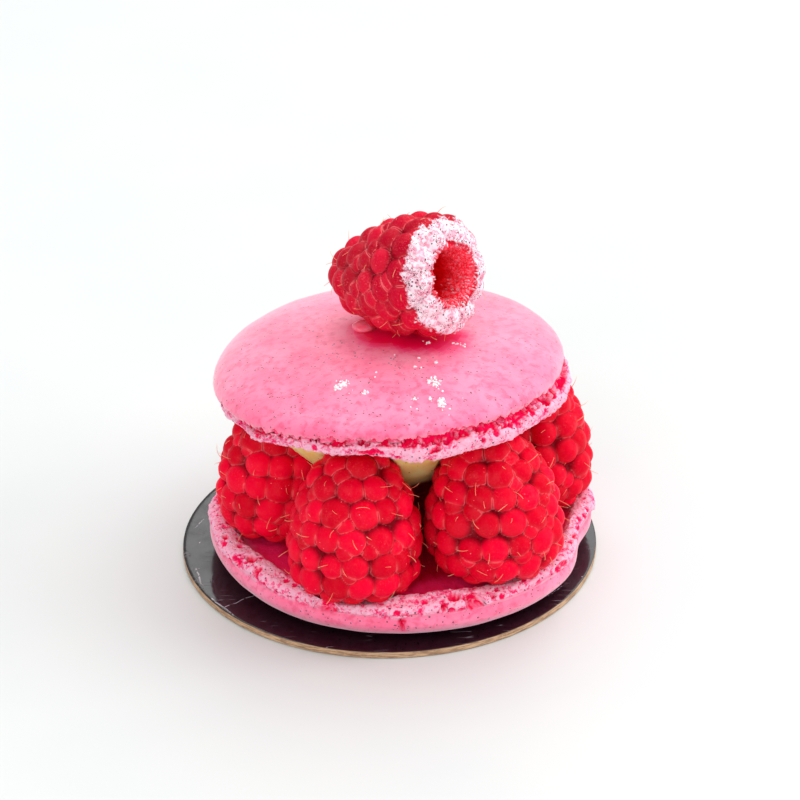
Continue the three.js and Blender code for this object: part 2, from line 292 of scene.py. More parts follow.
class Turned:
    """A closed body turned round +Z from the bottom middle, round its side, to the top middle."""

    def __init__(self, outline: Array, columns: int) -> None:
        """Turns the outline.

        Args:
            outline: Radius and height of each ring, rows by 2, starting and ending on the axis.
            columns: Points in each ring.
        """
        turn = np.linspace(0, 2 * math.pi, columns, endpoint=False)
        self.angle = np.broadcast_to(turn, (len(outline), columns))
        self.r = np.repeat(outline[:, :1], columns, 1)
        self.z = np.repeat(outline[:, 1:], columns, 1)
        along = np.gradient(outline, axis=0)
        along /= np.linalg.norm(along, axis=1)[:, None] + 1e-9
        self.out_r, self.out_z = along[:, 1:].copy(), -along[:, :1].copy()
        self.out_r[[0, -1]] = 0

    def points(self) -> Array:
        """Every point, rows by columns by 3."""
        return np.stack([self.r * np.cos(self.angle), self.r * np.sin(self.angle), self.z], -1)

    def directions(self) -> Array:
        """The way out at every point.

        Returns:
            Unit steps, rows by columns by 3.
        """
        out_r = np.broadcast_to(self.out_r, self.r.shape)
        out_z = np.broadcast_to(self.out_z, self.r.shape)
        return np.stack([out_r * np.cos(self.angle), out_r * np.sin(self.angle), out_z], -1)

    def push(self, amount: Array) -> None:
        """Moves every point out by its amount."""
        self.r = np.maximum(self.r + amount * self.out_r, 0)
        self.z = self.z + amount * self.out_z

    def spread(self, values: Array) -> Array:
        """Keeps one value for each point, with one point at each end of the axis.

        Args:
            values: Rows by columns, or rows by columns by 3.

        Returns:
            The values of the mesh's points, in order.
        """
        ends = values[0].mean(0, keepdims=True), values[-1].mean(0, keepdims=True)
        inner = values[1:-1].reshape(-1, *values.shape[2:])
        return np.concatenate([ends[0], inner, ends[1]])

    def body(self, **marks: Array) -> Body:
        """Closes the mesh.

        Args:
            **marks: Named values, rows by columns.

        Returns:
            The body, its faces turned out.
        """
        rows, columns = self.r.shape
        here = np.arange(columns)
        after = (here + 1) % columns
        faces = [[0, 1 + b, 1 + a] for a, b in zip(here, after)]
        start = 1 + columns * np.arange(rows - 3)[:, None]
        low = np.stack([start + here, start + after], -1)
        high = low[..., ::-1] + columns
        faces += np.concatenate([low, high], -1).reshape(-1, 4).tolist()
        last = 1 + columns * (rows - 3)
        top = last + columns
        faces += [[last + a, last + b, top] for a, b in zip(here, after)]
        spread = {key: self.spread(np.broadcast_to(value, self.r.shape)) for key, value in marks.items()}
        return Body(self.spread(self.points()), faces, spread)


def own(piece: bpy.types.Object, slot: str, *nodes: str) -> bpy.types.Object:
    """Sets a finished piece on the macaron.

    Args:
        piece: The Blender object.
        slot: Not used.
        *nodes: The solids that it stands for, if any.

    Returns:
        The same piece.
    """
    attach(piece, BODY)
    if nodes:
        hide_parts(*nodes)
    return piece


# ---- Finishes ----


def linear(colour: Colour) -> tuple[float, float, float, float]:
    """A screen colour as the light that a shader wants.

    Args:
        colour: Red, green and blue from 0 to 255.

    Returns:
        Red, green, blue and a full alpha, from 0 to 1.
    """
    shares = [channel / 255 for channel in colour]
    light = [s / 12.92 if s <= 0.04045 else ((s + 0.055) / 1.055) ** 2.4 for s in shares]
    return (*light, 1.0)


class NodeBench:
    """Lays out the nodes of one material."""

    def __init__(self, name: str) -> None:
        """Starts a material with one shader.

        Args:
            name: The material's name.
        """
        self.material = bpy.data.materials.new(name)
        self.material.use_nodes = True
        self.tree = self.material.node_tree
        self.tree.nodes.clear()
        output = self.add("ShaderNodeOutputMaterial")
        self.shader = self.add("ShaderNodeBsdfPrincipled")
        self.link(self.shader.outputs["BSDF"], output.inputs["Surface"])
        self.place = self.add("ShaderNodeTexCoord").outputs["Object"]
        self.normal: Socket | None = None

    def add(self, kind: str) -> bpy.types.ShaderNode:
        """Adds one node of a kind."""
        return self.tree.nodes.new(kind)

    def link(self, source: Socket, target: Socket) -> None:
        """Joins two sockets."""
        self.tree.links.new(source, target)

    def feed(self, target: Socket, value: Socket | float | Colour) -> None:
        """Links a socket to a value, or sets the value on it.

        Args:
            target: The input socket.
            value: Another node's output, a number, or a colour from 0 to 255.
        """
        if isinstance(value, bpy.types.NodeSocket):
            self.link(value, target)
        elif isinstance(value, tuple):
            target.default_value = linear(value)
        else:
            target.default_value = value

    def set(self, **values: float | Colour) -> None:
        """Sets constants on the shader's own sockets, named with _ for a space."""
        for key, value in values.items():
            self.feed(self.shader.inputs[key.replace("_", " ")], value)

    def stretched(self, stretch: Point) -> Socket:
        """The place, drawn out along the axes.

        Args:
            stretch: A factor for each axis.

        Returns:
            The place that a texture reads.
        """
        node = self.add("ShaderNodeMapping")
        self.link(self.place, node.inputs["Vector"])
        node.inputs["Scale"].default_value = [1 / factor for factor in stretch]
        return node.outputs["Vector"]

    def noise(
        self, size: float, detail: float = 2.0, warp: float = 0.0, place: Socket | None = None
    ) -> Socket:
        """Cloudy noise.

        Args:
            size: Width of its humps in millimetres.
            detail: Finer layers on top.
            warp: How far the noise is bent by itself.
            place: Where it is read, if not at the plain place.

        Returns:
            A share near 0.5.
        """
        node = self.add("ShaderNodeTexNoise")
        self.link(place or self.place, node.inputs["Vector"])
        node.inputs["Scale"].default_value = 1 / (size * MM)
        node.inputs["Detail"].default_value = detail
        node.inputs["Distortion"].default_value = warp
        return node.outputs["Fac"]

    def cells(self, size: float, edges: bool = False, place: Socket | None = None) -> Socket:
        """Distance to the middle of scattered cells, or to their edges.

        Args:
            size: Usual width of a cell in millimetres.
            edges: Measures from the cell's edge.
            place: Where it is read, if not at the plain place.

        Returns:
            The distance in cell widths.
        """
        node = self.add("ShaderNodeTexVoronoi")
        node.feature = "DISTANCE_TO_EDGE" if edges else "F1"
        self.link(place or self.place, node.inputs["Vector"])
        node.inputs["Scale"].default_value = 1 / (size * MM)
        return node.outputs["Distance"]

    def mark(self, name: str) -> Socket:
        """A value that the mesh carries at each point.

        Args:
            name: The mark's name.

        Returns:
            The value.
        """
        node = self.add("ShaderNodeAttribute")
        node.attribute_name = name
        return node.outputs["Fac"]

    def span(self, value: Socket, low: float, high: float, least: float = 0.0, most: float = 1.0) -> Socket:
        """Maps a value smoothly.

        Args:
            value: What is mapped.
            low: The value that gives least.
            high: The value that gives most.
            least: The result at low.
            most: The result at high.

        Returns:
            The mapped value, held between least and most.
        """
        node = self.add("ShaderNodeMapRange")
        node.interpolation_type = "SMOOTHSTEP"
        self.link(value, node.inputs["Value"])
        for key, number in zip(("From Min", "From Max", "To Min", "To Max"), (low, high, least, most)):
            node.inputs[key].default_value = number
        return node.outputs["Result"]

    def sum(self, operation: str, first: Socket | float, second: Socket | float) -> Socket:
        """A sum of two values.

        Args:
            operation: Its kind, such as ADD or MAXIMUM.
            first: A value.
            second: A value.

        Returns:
            The result.
        """
        node = self.add("ShaderNodeMath")
        node.operation = operation
        self.feed(node.inputs[0], first)
        self.feed(node.inputs[1], second)
        return node.outputs[0]

    def times(self, first: Socket | float, second: Socket | float) -> Socket:
        """The product of two values."""
        return self.sum("MULTIPLY", first, second)

    def patchy(self, share: Socket, size: float, detail: float, low: float, high: float) -> Socket:
        """Keeps a share in patches only.

        Args:
            share: What is kept there.
            size: Width of a patch in millimetres.
            detail: Finer layers on the patches' edges.
            low: Where the noise starts a patch.
            high: Where the patch is full.

        Returns:
            The share that is left.
        """
        return self.times(share, self.span(self.noise(size, detail), low, high))

    def mix(self, share: Socket | float, first: Socket | Colour, second: Socket | Colour) -> Socket:
        """A blend of two colours.

        Args:
            share: How much of the second.
            first: A colour.
            second: A colour.

        Returns:
            The blended colour.
        """
        node = self.add("ShaderNodeMix")
        node.data_type = "RGBA"
        self.feed(node.inputs[0], share)
        self.feed(node.inputs[6], first)
        self.feed(node.inputs[7], second)
        return node.outputs[2]

    def relief(self, height: Socket, depth: float) -> None:
        """Adds fine relief on top of what is there.

        Args:
            height: A share between 0 and 1.
            depth: Its full depth in millimetres.
        """
        node = self.add("ShaderNodeBump")
        node.inputs["Strength"].default_value = 1.0
        node.inputs["Distance"].default_value = depth * MM
        self.link(height, node.inputs["Height"])
        if self.normal is not None:
            self.link(self.normal, node.inputs["Normal"])
        self.normal = node.outputs["Normal"]

    def done(self, colour: Socket | Colour, roughness: Socket | float) -> bpy.types.Material:
        """Connects what the nodes made.

        Args:
            colour: The surface's own colour.
            roughness: Its roughness.

        Returns:
            The material.
        """
        self.feed(self.shader.inputs["Base Color"], colour)
        self.feed(self.shader.inputs["Roughness"], roughness)
        if self.normal is not None:
            self.link(self.normal, self.shader.inputs["Normal"])
        return self.material


@dataclass(frozen=True)
class ShellFinish:
    """Baked almond shell: a satin skin, a rough bubbly foot and raw pink where it is open."""

    name: str
    sheen: float = 0.8
    glow: float = 0.1
    skin: Colour = (255, 104, 148)
    skin_pale: Colour = (255, 138, 174)
    mottle: Colour = (232, 50, 108)
    pore: Colour = (190, 22, 78)
    speck: Colour = (58, 4, 32)
    crumb: Colour = (255, 184, 208)
    # The two deeper crumb pinks are painted shade for the crumb's hollows.
    crumb_half_shade: Colour = (255, 112, 158)
    crumb_shade: Colour = (250, 36, 106)
    raw: Colour = (255, 0, 84)
    moist: Colour = (255, 36, 106)
    # The deeper moist crimson is painted shade for the floor under the berries.
    moist_shade: Colour = (214, 0, 44)
    # Juice stain under the top berry, partly painted contact shade.
    stain_and_shade: Colour = (250, 0, 74)
    faint_stain_and_shade: Colour = (255, 48, 126)

    def material(self) -> bpy.types.Material:
        """Lays out the nodes, which read the marks foot, low, cavity, moist and stain.

        Returns:
            The material.
        """
        bench = NodeBench(self.name)
        clouds = bench.span(bench.noise(7, 3), 0.3, 0.7, 0, 0.7)
        skin = bench.mix(clouds, self.skin, self.skin_pale)
        skin = bench.mix(bench.span(bench.noise(1.5, 5, 0.3), 0.44, 0.7, 0, 0.66), skin, self.mottle)
        pores = bench.span(bench.cells(0.85), 0.16, 0.07)
        pores = bench.patchy(pores, 1.8, 2, 0.4, 0.56)
        skin = bench.mix(bench.times(pores, 0.7), skin, self.pore)
        specks = bench.sum("MAXIMUM", self.specks(bench, 1.6, 0.14), self.specks(bench, 0.95, 0.19))
        skin = bench.mix(bench.times(specks, 0.95), skin, self.speck)
        colour = bench.mix(bench.mark("foot"), skin, self.crumb_colour(bench, specks))
        # Painted shade: the moist crumb darkens to crimson deep inside, under and between the berries.
        moist = bench.mix(bench.span(bench.mark("moist"), 1.3, 2.0), self.moist, self.moist_shade)
        colour = bench.mix(bench.span(bench.mark("moist"), 0.02, 0.5), colour, moist)
        colour = bench.mix(bench.mark("cavity"), colour, self.raw)
        # Juice stain round the top berry, crimson near it: partly painted contact shade.
        stain_and_shade = bench.mark("stain_and_shade")
        juice = bench.mix(bench.span(stain_and_shade, 0.3, 0.9), self.faint_stain_and_shade, self.stain_and_shade)
        colour = bench.mix(bench.span(stain_and_shade, 0.02, 0.55), colour, juice)
        self.surface(bench, pores, specks)
        bench.set(Subsurface_Weight=self.glow, Subsurface_Scale=0.0012)
        bench.set(Specular_IOR_Level=0.1 + 0.4 * self.sheen)
        bench.set(Sheen_Weight=self.sheen, Sheen_Roughness=0.5, Sheen_Tint=(255, 234, 242))
        bench.shader.inputs["Subsurface Radius"].default_value = (1.0, 0.45, 0.5)
        return bench.done(colour, bench.span(bench.mark("foot"), 0, 1, 0.5, 0.85))

    def crumb_colour(self, bench: NodeBench, specks: Socket) -> Socket:
        """Pale on the lumps of the crumb and deep pink in its hollows, which is painted shade, with
        pinholes and husk.

        Args:
            bench: The material's nodes.
            specks: Where a speck of husk lies.

        Returns:
            The crumb's colour.
        """
        uneven = bench.span(bench.noise(0.6, 3, 0.8), 0.3, 0.7, -0.3, 0.3)
        height = bench.sum("ADD", bench.mark("low"), uneven)
        # Painted shade: the crumb darkens to deep pink where it lies low.
        crumb = bench.mix(bench.span(height, 0.3, 0.62), self.crumb, self.crumb_half_shade)
        crumb = bench.mix(bench.span(height, 0.6, 0.95), crumb, self.crumb_shade)
        holes = bench.span(bench.cells(0.62), 0.27, 0.15)
        holes = bench.patchy(holes, 1.3, 2, 0.5, 0.56)
        crumb = bench.mix(bench.times(holes, 0.9), crumb, self.raw)
        return bench.mix(bench.times(specks, 0.9), crumb, self.speck)

    def surface(self, bench: NodeBench, pores: Socket, specks: Socket) -> None:
        """Adds the fine relief of the skin and the crumb.

        Args:
            bench: The material's nodes.
            pores: Where the skin has a pore.
            specks: Where a speck of husk lies.
        """
        foot = bench.mark("foot")
        bench.relief(bench.times(bench.noise(0.5, 4, 0.5), foot), 0.45)
        bench.relief(bench.noise(0.45, 3), 0.035)
        bench.relief(bench.noise(2.6, 2), 0.1)
        bench.relief(pores, -0.05)
        bench.relief(specks, -0.06)

    def specks(self, bench: NodeBench, size: float, radius: float) -> Socket:
        """Scattered specks of almond husk.

        Args:
            bench: The material's nodes.
            size: Usual distance between specks in millimetres.
            radius: A speck's radius as a share of that.

        Returns:
            1 on a speck and 0 off it.
        """
        dots = bench.span(bench.cells(size), radius, radius * 0.6)
        return bench.patchy(dots, 2.3, 1, 0.4, 0.5)


@dataclass(frozen=True)
class FleshFinish:
    """Ripe raspberry flesh, with painted shade in its creases and a painted pale rim highlight on each
    drupelet's lower edge.
    """

    name: str
    ripe: Colour = (206, 0, 32)
    bright: Colour = (244, 0, 50)
    # Painted shade for the creases between drupelets.
    deep: Colour = (124, 0, 18)
    # Painted sheen: the pale rim highlight on the drupelets' edges.
    painted_sheen: Colour = (255, 124, 128)
    # How much painted sheen haze and rim line the flesh gets.
    sheen_haze: float = 0.14
    # Painted glints: tiny pale dots.
    painted_glint: Colour = (255, 176, 176)
    sugar: Colour = (246, 226, 234)
    sugar_pink: Colour = (238, 140, 172)
    curl: Colour = (150, 10, 52)
    pit: Colour = (64, 0, 20)
    fuzz: Colour = (255, 150, 170)
    core: Colour = (250, 34, 62)
    # Painted shade for the far end of the hollow.
    core_deep: Colour = (226, 4, 22)

    def material(self) -> bpy.types.Material:
        """Lays out the nodes, which read the marks tone, depth, seam, rift, sugar and core.

        Returns:
            The material.
        """
        bench = NodeBench(self.name)
        flesh = bench.mix(bench.mark("tone"), self.ripe, self.bright)
        # Painted shade: the flesh darkens where the skin sinks between drupelets.
        flesh = bench.mix(bench.span(bench.mark("depth"), 0.6, 1.9), flesh, self.deep)
        seam = bench.mark("seam")
        # Painted sheen: paler near each drupelet's edge, with a thin pale rim line on its lower edge.
        flesh = bench.mix(bench.span(seam, 0.9, 0.1, 0, 0.07), flesh, self.painted_sheen)
        line = bench.times(bench.span(seam, 0.05, 0.12), bench.span(seam, 0.3, 0.16))
        broken = bench.span(bench.noise(2.2, 3), 0.36, 0.62, 0.08, 0.32 + self.sheen_haze)
        line = bench.times(line, broken)
        flesh = bench.mix(line, flesh, self.painted_sheen)
        # Painted shade: a dark line along deep seams between drupelets.
        rift = bench.span(bench.mark("rift"), 0.16, 0.02)
        rift = bench.times(rift, bench.span(bench.mark("depth"), 0.3, 1))
        flesh = bench.mix(bench.times(rift, 0.7), flesh, self.deep)
        # Painted sheen: a pale haze in patches.
        haze = bench.span(bench.noise(0.3, 3, 0.5), 0.5, 0.72)
        thick = bench.span(bench.noise(3, 2), 0.45, 0.68, 0.3 * self.sheen_haze, self.sheen_haze)
        haze = bench.times(haze, thick)
        flesh = bench.mix(haze, flesh, self.painted_sheen)
        # Painted glints: scattered tiny pale dots.
        dots = bench.span(bench.cells(1.15), 0.085, 0.05)
        dots = bench.patchy(dots, 2.4, 1, 0.48, 0.56)
        flesh = bench.mix(bench.times(dots, 0.8), flesh, self.painted_glint)
        core = bench.mark("core")
        # Painted shade: the hollow darkens deeper in.
        inner = bench.mix(bench.span(core, 1.1, 1.8), self.core, self.core_deep)
        fuzz = bench.span(bench.noise(0.5, 3, 1.2), 0.44, 0.66)
        fuzz = bench.times(fuzz, bench.span(core, 1.8, 1.1, 0, 0.7))
        inner = bench.mix(fuzz, inner, self.fuzz)
        flesh = bench.mix(bench.span(core, 0, 1), flesh, inner)
        colour = bench.mix(bench.mark("sugar"), flesh, self.powder(bench))
        bench.relief(bench.noise(0.6, 3), 0.06)
        bench.set(Subsurface_Weight=0.2, Subsurface_Scale=0.0012, Specular_IOR_Level=0.04)
        bench.shader.inputs["Subsurface Radius"].default_value = (1.0, 0.1, 0.14)
        return bench.done(colour, bench.span(bench.mark("sugar"), 0, 1, 0.34, 0.9))

    def powder(self, bench: NodeBench) -> Socket:
        """Caked powder: white, thin and pink in patches, with dark pits and curls.

        Args:
            bench: The material's nodes.

        Returns:
            The powder's colour.
        """
        sugar = bench.mark("sugar")
        patches = bench.span(bench.noise(0.9, 4, 0.8), 0.44, 0.62)
        dust = bench.mix(bench.times(patches, 0.75), self.sugar, self.sugar_pink)
        pits = bench.span(bench.cells(0.62), 0.32, 0.2)
        pits = bench.times(pits, bench.span(bench.noise(1.2, 3, 1.0), 0.46, 0.52))
        winding = bench.noise(0.9, 2, 2.5)
        curls = bench.times(bench.span(winding, 0.5, 0.525), bench.span(winding, 0.585, 0.56))
        curls = bench.patchy(curls, 1.8, 2, 0.42, 0.54)
        bench.relief(bench.times(bench.noise(0.4, 4, 0.8), sugar), 0.12)
        bench.relief(bench.times(pits, sugar), -0.08)
        dust = bench.mix(bench.times(curls, 0.85), dust, self.curl)
        return bench.mix(bench.times(pits, 0.95), dust, self.pit)


@dataclass(frozen=True)
class HairFinish:
    """The fine dry styles that stand on a raspberry."""

    name: str
    root: Colour = (232, 84, 60)
    tip: Colour = (255, 190, 148)

    def material(self) -> bpy.types.Material:
        """Lays out the nodes, which read the mark reach from a hair's root to its tip.

        Returns:
            The material.
        """
        bench = NodeBench(self.name)
        uneven = bench.span(bench.noise(1.5, 2), 0.3, 0.7, 0.6, 1.3)
        uneven = bench.times(bench.mark("reach"), uneven)
        bench.relief(bench.noise(0.1, 2), 0.01)
        bench.set(Sheen_Weight=0.1, Subsurface_Weight=0.2, Subsurface_Scale=0.0004)
        return bench.done(bench.mix(uneven, self.root, self.tip), 0.5)


@dataclass(frozen=True)
class CustardFinish:
    """Set custard with vanilla seeds, with painted shade in deep red low down between the berries."""

    name: str
    light: Colour = (255, 236, 158)
    dark: Colour = (255, 220, 132)
    seed: Colour = (92, 62, 34)
    # Deep red painted shade for the custard low down between the berries.
    juice: Colour = (120, 0, 18)

    def material(self) -> bpy.types.Material:
        """Lays out the nodes, which read the mark of painted shade low down.

        Returns:
            The material.
        """
        bench = NodeBench(self.name)
        body = bench.mix(bench.span(bench.noise(4, 3), 0.35, 0.65), self.light, self.dark)
        seeds = bench.span(bench.cells(1.5), 0.13, 0.07)
        seeds = bench.patchy(seeds, 2.6, 1, 0.45, 0.55)
        colour = bench.mix(bench.times(seeds, 0.8), body, self.seed)
        colour = bench.mix(bench.mark("juice"), colour, self.juice)
        bench.relief(bench.noise(0.8, 4), 0.07)
        bench.relief(bench.noise(3.5, 2), 0.15)
        bench.set(Subsurface_Weight=0.7, Subsurface_Scale=0.005, Specular_IOR_Level=0.45)
        return bench.done(colour, bench.span(bench.noise(1.5, 2), 0.3, 0.7, 0.38, 0.6))


@dataclass(frozen=True)
class CardFinish:
    """Layered brown board with a dark, glossy, scuffed film above."""

    name: str
    film: Colour = (14, 6, 12)
    scuff: Colour = (168, 162, 170)
    dust: Colour = (215, 212, 214)
    board: Colour = (205, 168, 132)
    board_dark: Colour = (146, 112, 84)
    marks: tuple[tuple[float, float, float, float], ...] = (
        (-31.4, -24.3, -25.0, -19.2), (-33.9, -20.4, -29.2, -27.1), (-37.2, -10.1, -35.6, -16.4),
        (33.0, 14.0, 36.5, 9.0), (-22.0, 31.5, -14.0, 34.0), (30.0, -21.5, 33.5, -17.0),
        (-38.0, 5.0, -36.2, 8.5), (20.0, 31.0, 24.0, 27.5), (9.0, 38.0, 14.0, 36.0),
    )

    def material(self) -> bpy.types.Material:
        """Lays out the nodes, which read the mark film.

        Returns:
            The material.
        """
        bench = NodeBench(self.name)
        film = bench.mark("film")
        scratches = self.scratches(bench)
        across = bench.stretched((14, 1.2, 1))
        lines = bench.span(bench.cells(1.6, True, across), 0.02, 0.006)
        lines = bench.patchy(lines, 6, 2, 0.54, 0.64)
        dots = bench.span(bench.cells(3.1), 0.055, 0.03)
        dots = bench.patchy(dots, 5, 2, 0.4, 0.6)
        top = bench.mix(bench.times(lines, 0.45), self.film, self.scuff)
        top = bench.mix(scratches, top, self.scuff)
        top = bench.mix(dots, top, self.dust)
        layers = bench.noise(0.45, 3, 0.2, bench.stretched((6, 6, 0.5)))
        fibres = bench.noise(0.9, 4, 0.8)
        side = bench.mix(bench.span(layers, 0.35, 0.62), self.board, self.board_dark)
        side = bench.mix(bench.span(fibres, 0.45, 0.75, 0, 0.5), side, self.board)
        bench.relief(bench.noise(3.5, 3, 0.5), 0.05)
        bench.relief(bench.times(lines, film), -0.03)
        rough = bench.span(bench.noise(7, 3), 0.35, 0.65, 0.1, 0.2)
        rough = bench.sum("ADD", rough, bench.times(bench.span(film, 1, 0), 0.6))
        bench.set(Specular_IOR_Level=0.5)
        return bench.done(bench.mix(film, side, top), rough)

    def scratches(self, bench: NodeBench) -> Socket:
        """The film's own scratches, each a thin broken line between two places on the card.

        Args:
            bench: The material's nodes.

        Returns:
            1 on a scratch and 0 off it.
        """
        total: Socket | float = 0.0
        for x0, y0, x1, y1 in self.marks:
            start = Vector((x0, y0, 0)) * MM
            turn = math.atan2(y1 - y0, x1 - x0)
            reach = math.hypot(x1 - x0, y1 - y0) * MM
            laid = bench.add("ShaderNodeMapping")
            laid.vector_type = "TEXTURE"
            bench.link(bench.place, laid.inputs["Vector"])
            laid.inputs["Location"].default_value = start
            laid.inputs["Rotation"].default_value = (0, 0, turn)
            parts = bench.add("ShaderNodeSeparateXYZ")
            bench.link(laid.outputs["Vector"], parts.inputs["Vector"])
            waver = bench.span(bench.noise(3, 2), 0.2, 0.8, -0.0003, 0.0003)
            off = bench.sum("ABSOLUTE", bench.sum("ADD", parts.outputs["Y"], waver), 0.0)
            line = bench.span(off, 0.00016, 0.00006)
            line = bench.times(line, bench.span(parts.outputs["X"], -0.0004, 0.0004))
            line = bench.times(line, bench.span(parts.outputs["X"], reach, reach - 0.001))
            total = bench.sum("MAXIMUM", line, total)
        return bench.times(total, bench.span(bench.noise(0.8, 3), 0.42, 0.52, 0.1, 0.9))


@dataclass(frozen=True)
class GelFinish:
    """Clear set sugar gel."""

    name: str
    clear: Colour = (255, 122, 146)
    deep: Colour = (255, 92, 124)

    def material(self) -> bpy.types.Material:
        """Lays out the nodes.

        Returns:
            The material.
        """
        bench = NodeBench(self.name)
        colour = bench.mix(bench.span(bench.noise(1.4, 3), 0.35, 0.65), self.clear, self.deep)
        bench.relief(bench.noise(1.2, 2), 0.04)
        bench.set(Subsurface_Weight=0.6, Subsurface_Scale=0.003, Coat_Weight=0.4, Coat_Roughness=0.08)
        bench.shader.inputs["Subsurface Radius"].default_value = (1.0, 0.4, 0.5)
        return bench.done(colour, 0.2)


@dataclass(frozen=True)
class SugarFinish:
    """Icing sugar in loose crystals."""

    name: str
    white: Colour = (253, 249, 250)
    shade: Colour = (244, 226, 232)

    def material(self) -> bpy.types.Material:
        """Lays out the nodes.

        Returns:
            The material.
        """
        bench = NodeBench(self.name)
        colour = bench.mix(bench.span(bench.noise(0.4, 3), 0.4, 0.7), self.white, self.shade)
        bench.relief(bench.noise(0.15, 3), 0.05)
        bench.set(Subsurface_Weight=0.2, Subsurface_Scale=0.0005)
        return bench.done(colour, 0.75)


@dataclass(frozen=True)
class FloorFinish:
    """A plain pale table top."""

    name: str
    pale: Colour = (210, 213, 212)
    faint: Colour = (208, 211, 211)

    def material(self) -> bpy.types.Material:
        """Lays out the nodes.

        Returns:
            The material.
        """
        bench = NodeBench(self.name)
        colour = bench.mix(bench.span(bench.noise(40, 2), 0.3, 0.7), self.pale, self.faint)
        return bench.done(colour, 0.6)


# ---- Raspberries ----


class Pose(Enum):
    """How a berry sits."""

    STANDING = "standing"
    LYING = "lying"


class Row(IntEnum):
    """Which row of draws, counted on from a berry's seed, each trait of its drupelets takes."""

    SIZE = 3
    TURN = 4
    SINK = 5
    ALONG = 6
    SHIFT = 7
    SMALL = 9
    SMALL_SIZE = 11
    SMALL_SINK = 13
    TONE = 17
    HAIR = 21


@dataclass(frozen=True)
class BerryForm:
    """What all the berries share: their outline and how the drupelets are set."""

    widest_at: float = 0.3
    end_share: float = 0.62
    end_curve: float = 4
    tip_curve: float = 1.9
    pitch: float = 5.45
    row_share: float = 0.87
    jitter: float = 0.12
    swell: float = 3.1
    overlap: float = 0.2
    core: float = 1.9
    steps: int = 160

    def radius_at(self, share: Array, radius: float) -> Array:
        """The outline's radius somewhere along the berry.

        Args:
            share: The place as a share of the berry's length, from its open end.
            radius: The berry's radius where it is widest.

        Returns:
            The radius there.
        """
        low = np.clip((self.widest_at - share) / self.widest_at, 0, 1)
        high = np.clip((share - self.widest_at) / (1 - self.widest_at), 0, 1)
        wide = radius * (1 - (1 - self.end_share) * low**self.end_curve)
        return np.where(share < self.widest_at, wide, radius * np.sqrt(1 - high**self.tip_curve))

    def outline(self, radius: float, length: float) -> Array:
        """The outline from the middle of the open end to the tip.

        Args:
            radius: The berry's radius where it is widest.
            length: From the open end to the tip.

        Returns:
            Distance along the outline, radius and height, rows by 3.
        """
        share = 1 - (1 - np.arange(self.steps + 1) / self.steps) ** 2
        place = np.stack([self.radius_at(share, radius), share * length], -1)
        place = np.vstack([[0, 0], place])
        along = np.concatenate([[0], np.cumsum(np.linalg.norm(np.diff(place, axis=0), axis=1))])
        return np.column_stack([along, place])

    def sites(self, outline: Array, seed: float) -> Array:
        """Where the drupelets sit: staggered rows, each a little out of place.

        Args:
            outline: The berry's outline.
            seed: The berry's own draws.

        Returns:
            Distance along the outline and angle of each, n by 2.
        """
        total = outline[-1, 0]
        first = outline[1, 0] + 0.3 * self.pitch
        rows = round((total - first) / (self.pitch * self.row_share))
        found = []
        for row in range(rows):
            along = first + (total - first) * row / rows
            around = 2 * math.pi * np.interp(along, outline[:, 0], outline[:, 1])
            count = max(4, math.floor(around / self.pitch + 0.5))
            for i in range(count):
                index = row * 40 + i
                stray = self.jitter * (draw(seed, index) - 0.5)
                turn = (i + 0.5 * (row % 2) + stray * 1.6) / count * 2 * math.pi
                shift = self.jitter * self.pitch * (draw(seed + Row.SHIFT, index) - 0.5)
                found.append((along + shift, turn + 0.4 * row))
        found.append((total, 0.0))
        return np.array(found)


@dataclass(frozen=True)
class Hollow:
    """The hollow left where a berry came off its core."""

    mouth: float = 5.2
    throat: float = 4.7
    depth: float = 15.5


